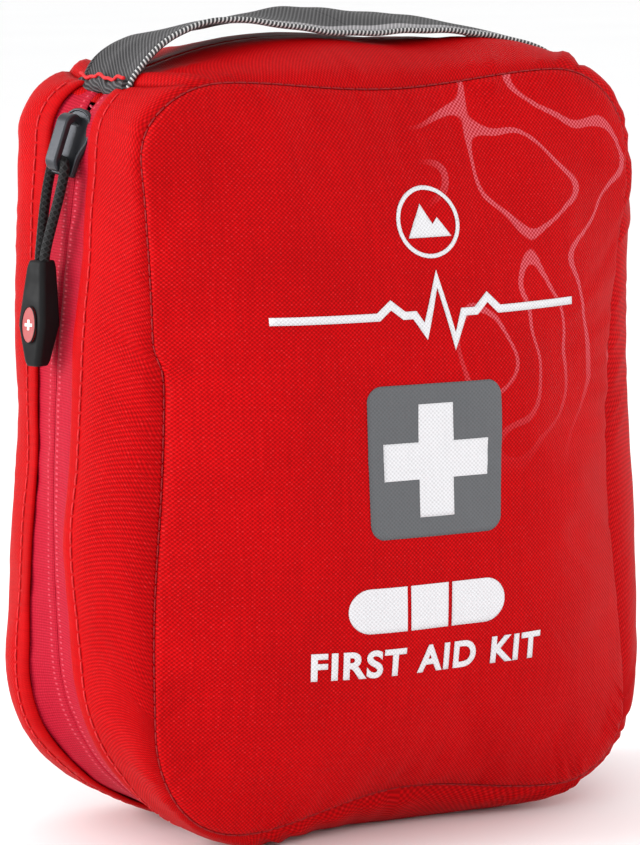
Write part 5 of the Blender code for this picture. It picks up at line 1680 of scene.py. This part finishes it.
def build_linings(lining, binding):
    for side, half in ((-1, "front"), (1, "rear")):
        piece = panel_piece(half + "_lining_cloth", side, lining, sink=2.1, thickness=0.35)
        settle(piece, half + "_half", "red_lining", half + "_lining")
        seam = abs(FRONT_Y if side < 0 else REAR_Y)
        rows = [(side * (seam - d), sink) for d, sink in SEAM_TAPE_ROWS]
        grid = wall_grid(WALL, rows, side)
        piece = cloth_grid_piece(half + "_seam_tape", grid, WALL, rows, binding, flip=side < 0)
        fold_with_top(piece, side, "grey_binding", half + "_seam_binding")


def build_pockets(net_mat, red, elastic, binding):
    edge = pocket_piece("front_pocket", net_mat, "black_mesh", 1, cells=(80, 68), net=0.5)
    hem_piece("front_pocket_hem", edge, binding, "grey_binding")
    edge = pocket_piece("rear_pocket", red, "red_polyester", -1)
    hem_piece("rear_pocket_hem", edge, binding, "grey_binding")
    low, high = node_box("organiser_panel")
    grid = []
    for z in np.linspace(low[2], high[2], 33):
        grid.append([(x, (low[1] + high[1]) / 2 + 0.12 * float(swell(np.array([[x, 0, z]]), 30, 61)[0]), z)
                     for x in np.linspace(low[0], high[0], 41)])
    grid = np.array(grid)
    uv = flat_uv(grid)
    piece = make_piece("organiser_cloth", grid.reshape(-1, 3), grid_faces(33, 41, flip=False), red, uv, 0.4)
    settle(piece, body_name("organiser_panel"), "red_polyester", "organiser_panel")
    rim = np.vstack([grid[0, 1:-1], grid[1:-1, -1], grid[-1, 1:-1][::-1], grid[1:-1, 0][::-1]])
    verts, faces, tube_uv = tube_mesh(rim, 1.0, 8, closed=True)
    settle(make_piece("organiser_binding", verts, faces, binding, tube_uv), body_name("organiser_panel"),
           "grey_binding")
    build_elastics(elastic)


def build_elastics(elastic):
    low, high = node_box("elastic_band")
    rows = [[(x, (low[1] + high[1]) / 2 - 0.12 + 0.1 * math.sin(x * 0.8), z)
             for x in np.linspace(low[0], high[0], 90)]
            for z in np.linspace(low[2], high[2], 9)]
    grid = np.array(rows)
    uv = flat_uv(grid)
    piece = make_piece("elastic_strip", grid.reshape(-1, 3), grid_faces(9, 90, flip=True), elastic, uv, 0.5)
    settle(piece, body_name("elastic_band"), "black_elastic", "elastic_band")
    for node in ("scissors_loop", "tweezers_loop"):
        low, high = node_box(node)
        middle, half = (low + high) / 2, (high - low) / 2
        grid = []
        for z in np.linspace(low[2], high[2], 7):
            row = []
            for u in np.linspace(-1, 1, 41):
                rise = (1 - abs(u) ** 3.2) ** 0.7
                row.append((middle[0] + u * half[0], high[1] - (high[1] - low[1] - 0.5) * rise,
                            z + 0.05 * math.sin(u * 60)))
            grid.append(row)
        grid = np.array(grid)
        run = np.linspace(0, 2.4 * half[0], 41)
        uv = [(s, p[2]) for r in grid for s, p in zip(run, r)]
        faces = grid_faces(7, 41, flip=True)
        piece = make_piece(node + "_strip", grid.reshape(-1, 3), faces, elastic, uv, 0.6)
        settle(piece, body_name(node), "black_elastic", node)


def elastic_cloth():
    graph = Graph("black_elastic", Roughness=0.7, Specular_IOR_Level=0.25)
    uv = graph.uv()
    u, v, _ = graph.split(uv)
    rib = graph.ramp(graph.sine(v, FULL_TURN / 1.5), -0.8, 0.8)
    cord = graph.ramp(graph.sine(u, FULL_TURN / 0.7), -0.9, 0.9)
    height = graph.plus(graph.times(rib, 0.7), graph.times(cord, 0.4))
    graph.colour(graph.mix(height, (0.006, 0.006, 0.007), (0.05, 0.05, 0.054)))
    graph.bump(height, 0.2, 0.8)
    return graph.material


def folded_stack(node, mat, slot, layers):
    """Cloth folded flat: rounded folds on the left and right in turn, and slightly uneven layers."""
    low, high = node_box(node)
    middle, half = (low + high) / 2, (high - low) / 2
    pitch = (high[1] - low[1]) / layers
    thick = pitch * 0.94
    path = []
    for k in range(layers):
        y = low[1] + pitch * (k + 0.5)
        way = 1 if k % 2 == 0 else -1
        inset = 0.9 + 0.5 * math.sin(k * 2.3)
        for u in np.linspace(-1, 1, 24):
            path.append((middle[0] + way * u * (half[0] - pitch / 2 - inset), y + 0.1 * math.sin(u * 7 + k)))
        if k < layers - 1:
            cx = middle[0] + way * (half[0] - pitch / 2 - inset)
            for a in np.linspace(-QUARTER_TURN, QUARTER_TURN, 8)[1:-1]:
                path.append((cx + way * pitch / 2 * math.cos(a), y + pitch / 2 + pitch / 2 * math.sin(a)))
    zs = np.linspace(low[2] + 0.4, high[2] - 0.4, 30)
    verts = [(x + 0.25 * math.sin(z * 0.31 + i * 0.05), y, z) for i, (x, y) in enumerate(path) for z in zs]
    run = np.concatenate([[0.0], np.cumsum(np.linalg.norm(np.diff(np.array(path), axis=0), axis=1))])
    uv = [(s, z) for s in run for z in zs]
    piece = make_piece(node + "_cloth", verts, grid_faces(len(path), len(zs)), mat, uv)
    thicken(piece, thick * 0.8)
    return settle(piece, body_name(node), slot, node)


def plasters(node, backing, pad, slot):
    """Three sticking plasters side by side, each with its pad."""
    low, high = node_box(node)
    middle = (low + high) / 2
    width = (high[0] - low[0]) / 3
    for k in range(3):
        centre = low[0] + width * (k + 0.5)
        half, tall = width / 2 - 0.35, (high[2] - low[2]) / 2 - 0.3 * k

        def place(u, v, level):
            return (centre + u, middle[1] + level + 0.12 * math.sin(v * 0.15 + k), middle[2] + v)

        strip = slab(rounded_outline(-half, -tall, half, tall, half * 0.96), -0.75, 0.55, place, 0.25,
                     "%s_strip_%d" % (node, k + 1), backing)
        nodes = (node,) if k == 0 else ()
        settle(strip, body_name(node), slot, *nodes)
        pad_outline = rounded_outline(-half * 0.7, -tall * 0.32, half * 0.7, tall * 0.32, 0.8)
        cushion = slab(pad_outline, 0.5, 1.05, place, 0.2, "%s_pad_%d" % (node, k + 1), pad)
        settle(cushion, body_name(node), "crepe_cotton")


def leaflet(node, mat, slot):
    """A folded leaflet of four thin leaves."""
    low, high = node_box(node)
    middle, half = (low + high) / 2, (high - low) / 2
    leaves = 4
    pitch = (high[1] - low[1]) / leaves
    parts = []
    for k in range(leaves):
        y = low[1] + pitch * (k + 0.5)
        nu, nv = 16, 20
        verts, uv = [], []
        for j in range(nv + 1):
            for i in range(nu + 1):
                u, v = -1 + 2 * i / nu, -1 + 2 * j / nv
                curl = 0.05 * math.sin(3 * u + k) * math.sin(2 * v)
                inset = 0.25 * k
                verts.append((middle[0] + u * (half[0] - inset), y + curl,
                              middle[2] + v * (half[2] - inset * 0.6)))
                uv.append((u, v))
        parts.append((np.array(verts), grid_faces(nv + 1, nu + 1), np.array(uv)))
    verts, faces, uv = joined(parts)
    piece = make_piece(node + "_leaves", verts, faces, mat, uv)
    thicken(piece, 0.16)
    settle(piece, body_name(node), slot, node)


def blister(node, card, foil, slot):
    """A card of tablets: rounded card, and ten domes."""
    low, high = node_box(node)
    middle, half = (low + high) / 2, (high - low) / 2

    def place(u, v, level):
        return (middle[0] + u, high[1] - level, middle[2] + v)

    card_piece = slab(rounded_outline(-half[0], -half[2], half[0], half[2], 3.0), 0.1, 0.6, place, 0.12,
                      node + "_card", card)
    settle(card_piece, body_name(node), slot, node)
    parts = []
    for i in range(5):
        for j in range(2):
            cu, cv = (i - 2) * half[0] * 0.38, (j - 0.5) * half[2] * 0.95
            rings = []
            for a in np.linspace(0, QUARTER_TURN, 7):
                radius, level = 4.4 * math.cos(a) ** 0.8, 0.55 + 2.2 * math.sin(a)
                rings += [place(cu + radius * math.cos(t), cv + radius * math.sin(t), level)
                          for t in np.linspace(0, FULL_TURN, 25)[:-1]]
            parts.append((np.array(rings), grid_faces(7, 24, wrap=True), np.zeros((len(rings), 2))))
    verts, faces, uv = joined(parts)
    piece = make_piece(node + "_domes", verts, faces, foil, uv)
    settle(piece, body_name(node), "clear_film")


def repaint(mat, *nodes):
    for node in nodes:
        for cad_slot in frame["nodes"][node].material_slots:
            cad_slot.material = mat


def build_inside():
    lining = red_cloth("red_lining", pitch=0.36, tone=0.82)
    binding = webbing_plain("grey_binding", (0.1, 0.1, 0.104))
    build_linings(lining, binding)
    build_pockets(plastic("black_net", (0.01, 0.01, 0.011), 0.5, 0.05), red_cloth("red_pocket", pitch=0.4),
                  elastic_cloth(), binding)
    white_paper = paper("white_wrapper", (0.84, 0.84, 0.82), (0.03, 0.22, 0.5), 1.0)
    blue_film = paper("blue_sachet", (0.8, 0.86, 0.9), (0.02, 0.3, 0.42), 1.0, 0.3)
    for node in ("dressing_large", "dressing_medium_1", "dressing_medium_2"):
        pack(node, white_paper, "white_paper", seal=4.0, bulge=3.0)
    for node in ("wipe_sachet_1", "wipe_sachet_2", "wipe_sachet_3", "wipe_sachet_4"):
        pack(node, blue_film, "clear_film", seal=2.4, bulge=3.0, wave=0.15, cells=(24, 38))
    pack("gloves_pack", paper("glove_film", (0.16, 0.3, 0.62), (0.8, 0.82, 0.85), 0.0, 0.28), "clear_film",
         seal=2.2, bulge=2.6, wave=0.9)
    tan = plastic("tan_plaster", (0.62, 0.36, 0.2), 0.6, 0.08, 0.25)
    gauze = cotton("gauze", (0.85, 0.83, 0.78), 0.5)
    plasters("plaster_pack_1", tan, gauze, "tan_plaster")
    plasters("plaster_pack_2", tan, gauze, "tan_plaster")
    crepe = cotton("crepe", (0.78, 0.68, 0.52), 0.8, 0.8)
    wound_roll("crepe_bandage_large", crepe, "crepe_cotton", 9.0, 2.2, 0.95)
    wound_roll("crepe_bandage_small", crepe, "crepe_cotton", 8.0, 2.2, 0.95)
    tape_paper = cotton("tape_paper", (0.82, 0.8, 0.76), 0.45)
    wound_roll("microporous_tape", tape_paper, "white_paper", 7.0, 8.6, 0.5)
    folded_stack("triangular_bandage", cotton("calico", (0.83, 0.8, 0.72), 0.6), "clear_film", 6)
    leaflet("guidance_leaflet", white_paper, "white_paper")
    blister("tablet_blister", plastic("blister_card", (0.05, 0.2, 0.55), 0.35, 0.02),
            metal("blister_foil", (0.75, 0.76, 0.78), 0.25), "blue_card")
    steel = metal("brushed_steel", (0.62, 0.62, 0.63), 0.28, 1.0, 1.0)
    repaint(steel, "scissor_blade_fixed", "scissor_blade_moving", "scissor_rivet", "tweezers",
            "safety_pin_1", "safety_pin_2")
    repaint(plastic("blue_handle", (0.015, 0.12, 0.5), 0.35, 0.03), "scissor_handle_fixed",
            "scissor_handle_moving")
    repaint(plastic("spool_plastic", (0.06, 0.25, 0.6), 0.4, 0.03), "tape_spool")
    repaint(webbing_plain("stop_tape", (0.09, 0.09, 0.094)), "zip_end_stop_left", "zip_end_stop_right")


def webbing_plain(name, rgb):
    """Grosgrain binding, from its place in space so that it also fits CAD nodes."""
    graph = Graph(name, Roughness=0.65, Specular_IOR_Level=0.25)
    place = graph.place_mm()
    x, y, z = graph.split(place)
    across = graph.plus(graph.plus(x, z), graph.times(y, 0.2))
    rib = graph.ramp(graph.sine(across, FULL_TURN / 0.8), -0.8, 0.8)
    fleck = graph.noise(place, 1.8, 3.0)
    tone = graph.ramp(graph.plus(rib, fleck), 0.3, 1.6)
    graph.colour(graph.mix(tone, shade(rgb, 0.5), shade(rgb, 1.4)))
    graph.bump(graph.plus(rib, fleck), 0.12, 0.8)
    return graph.material


build_camera()
build_studio()
build_floor()
build_outside()
build_inside()
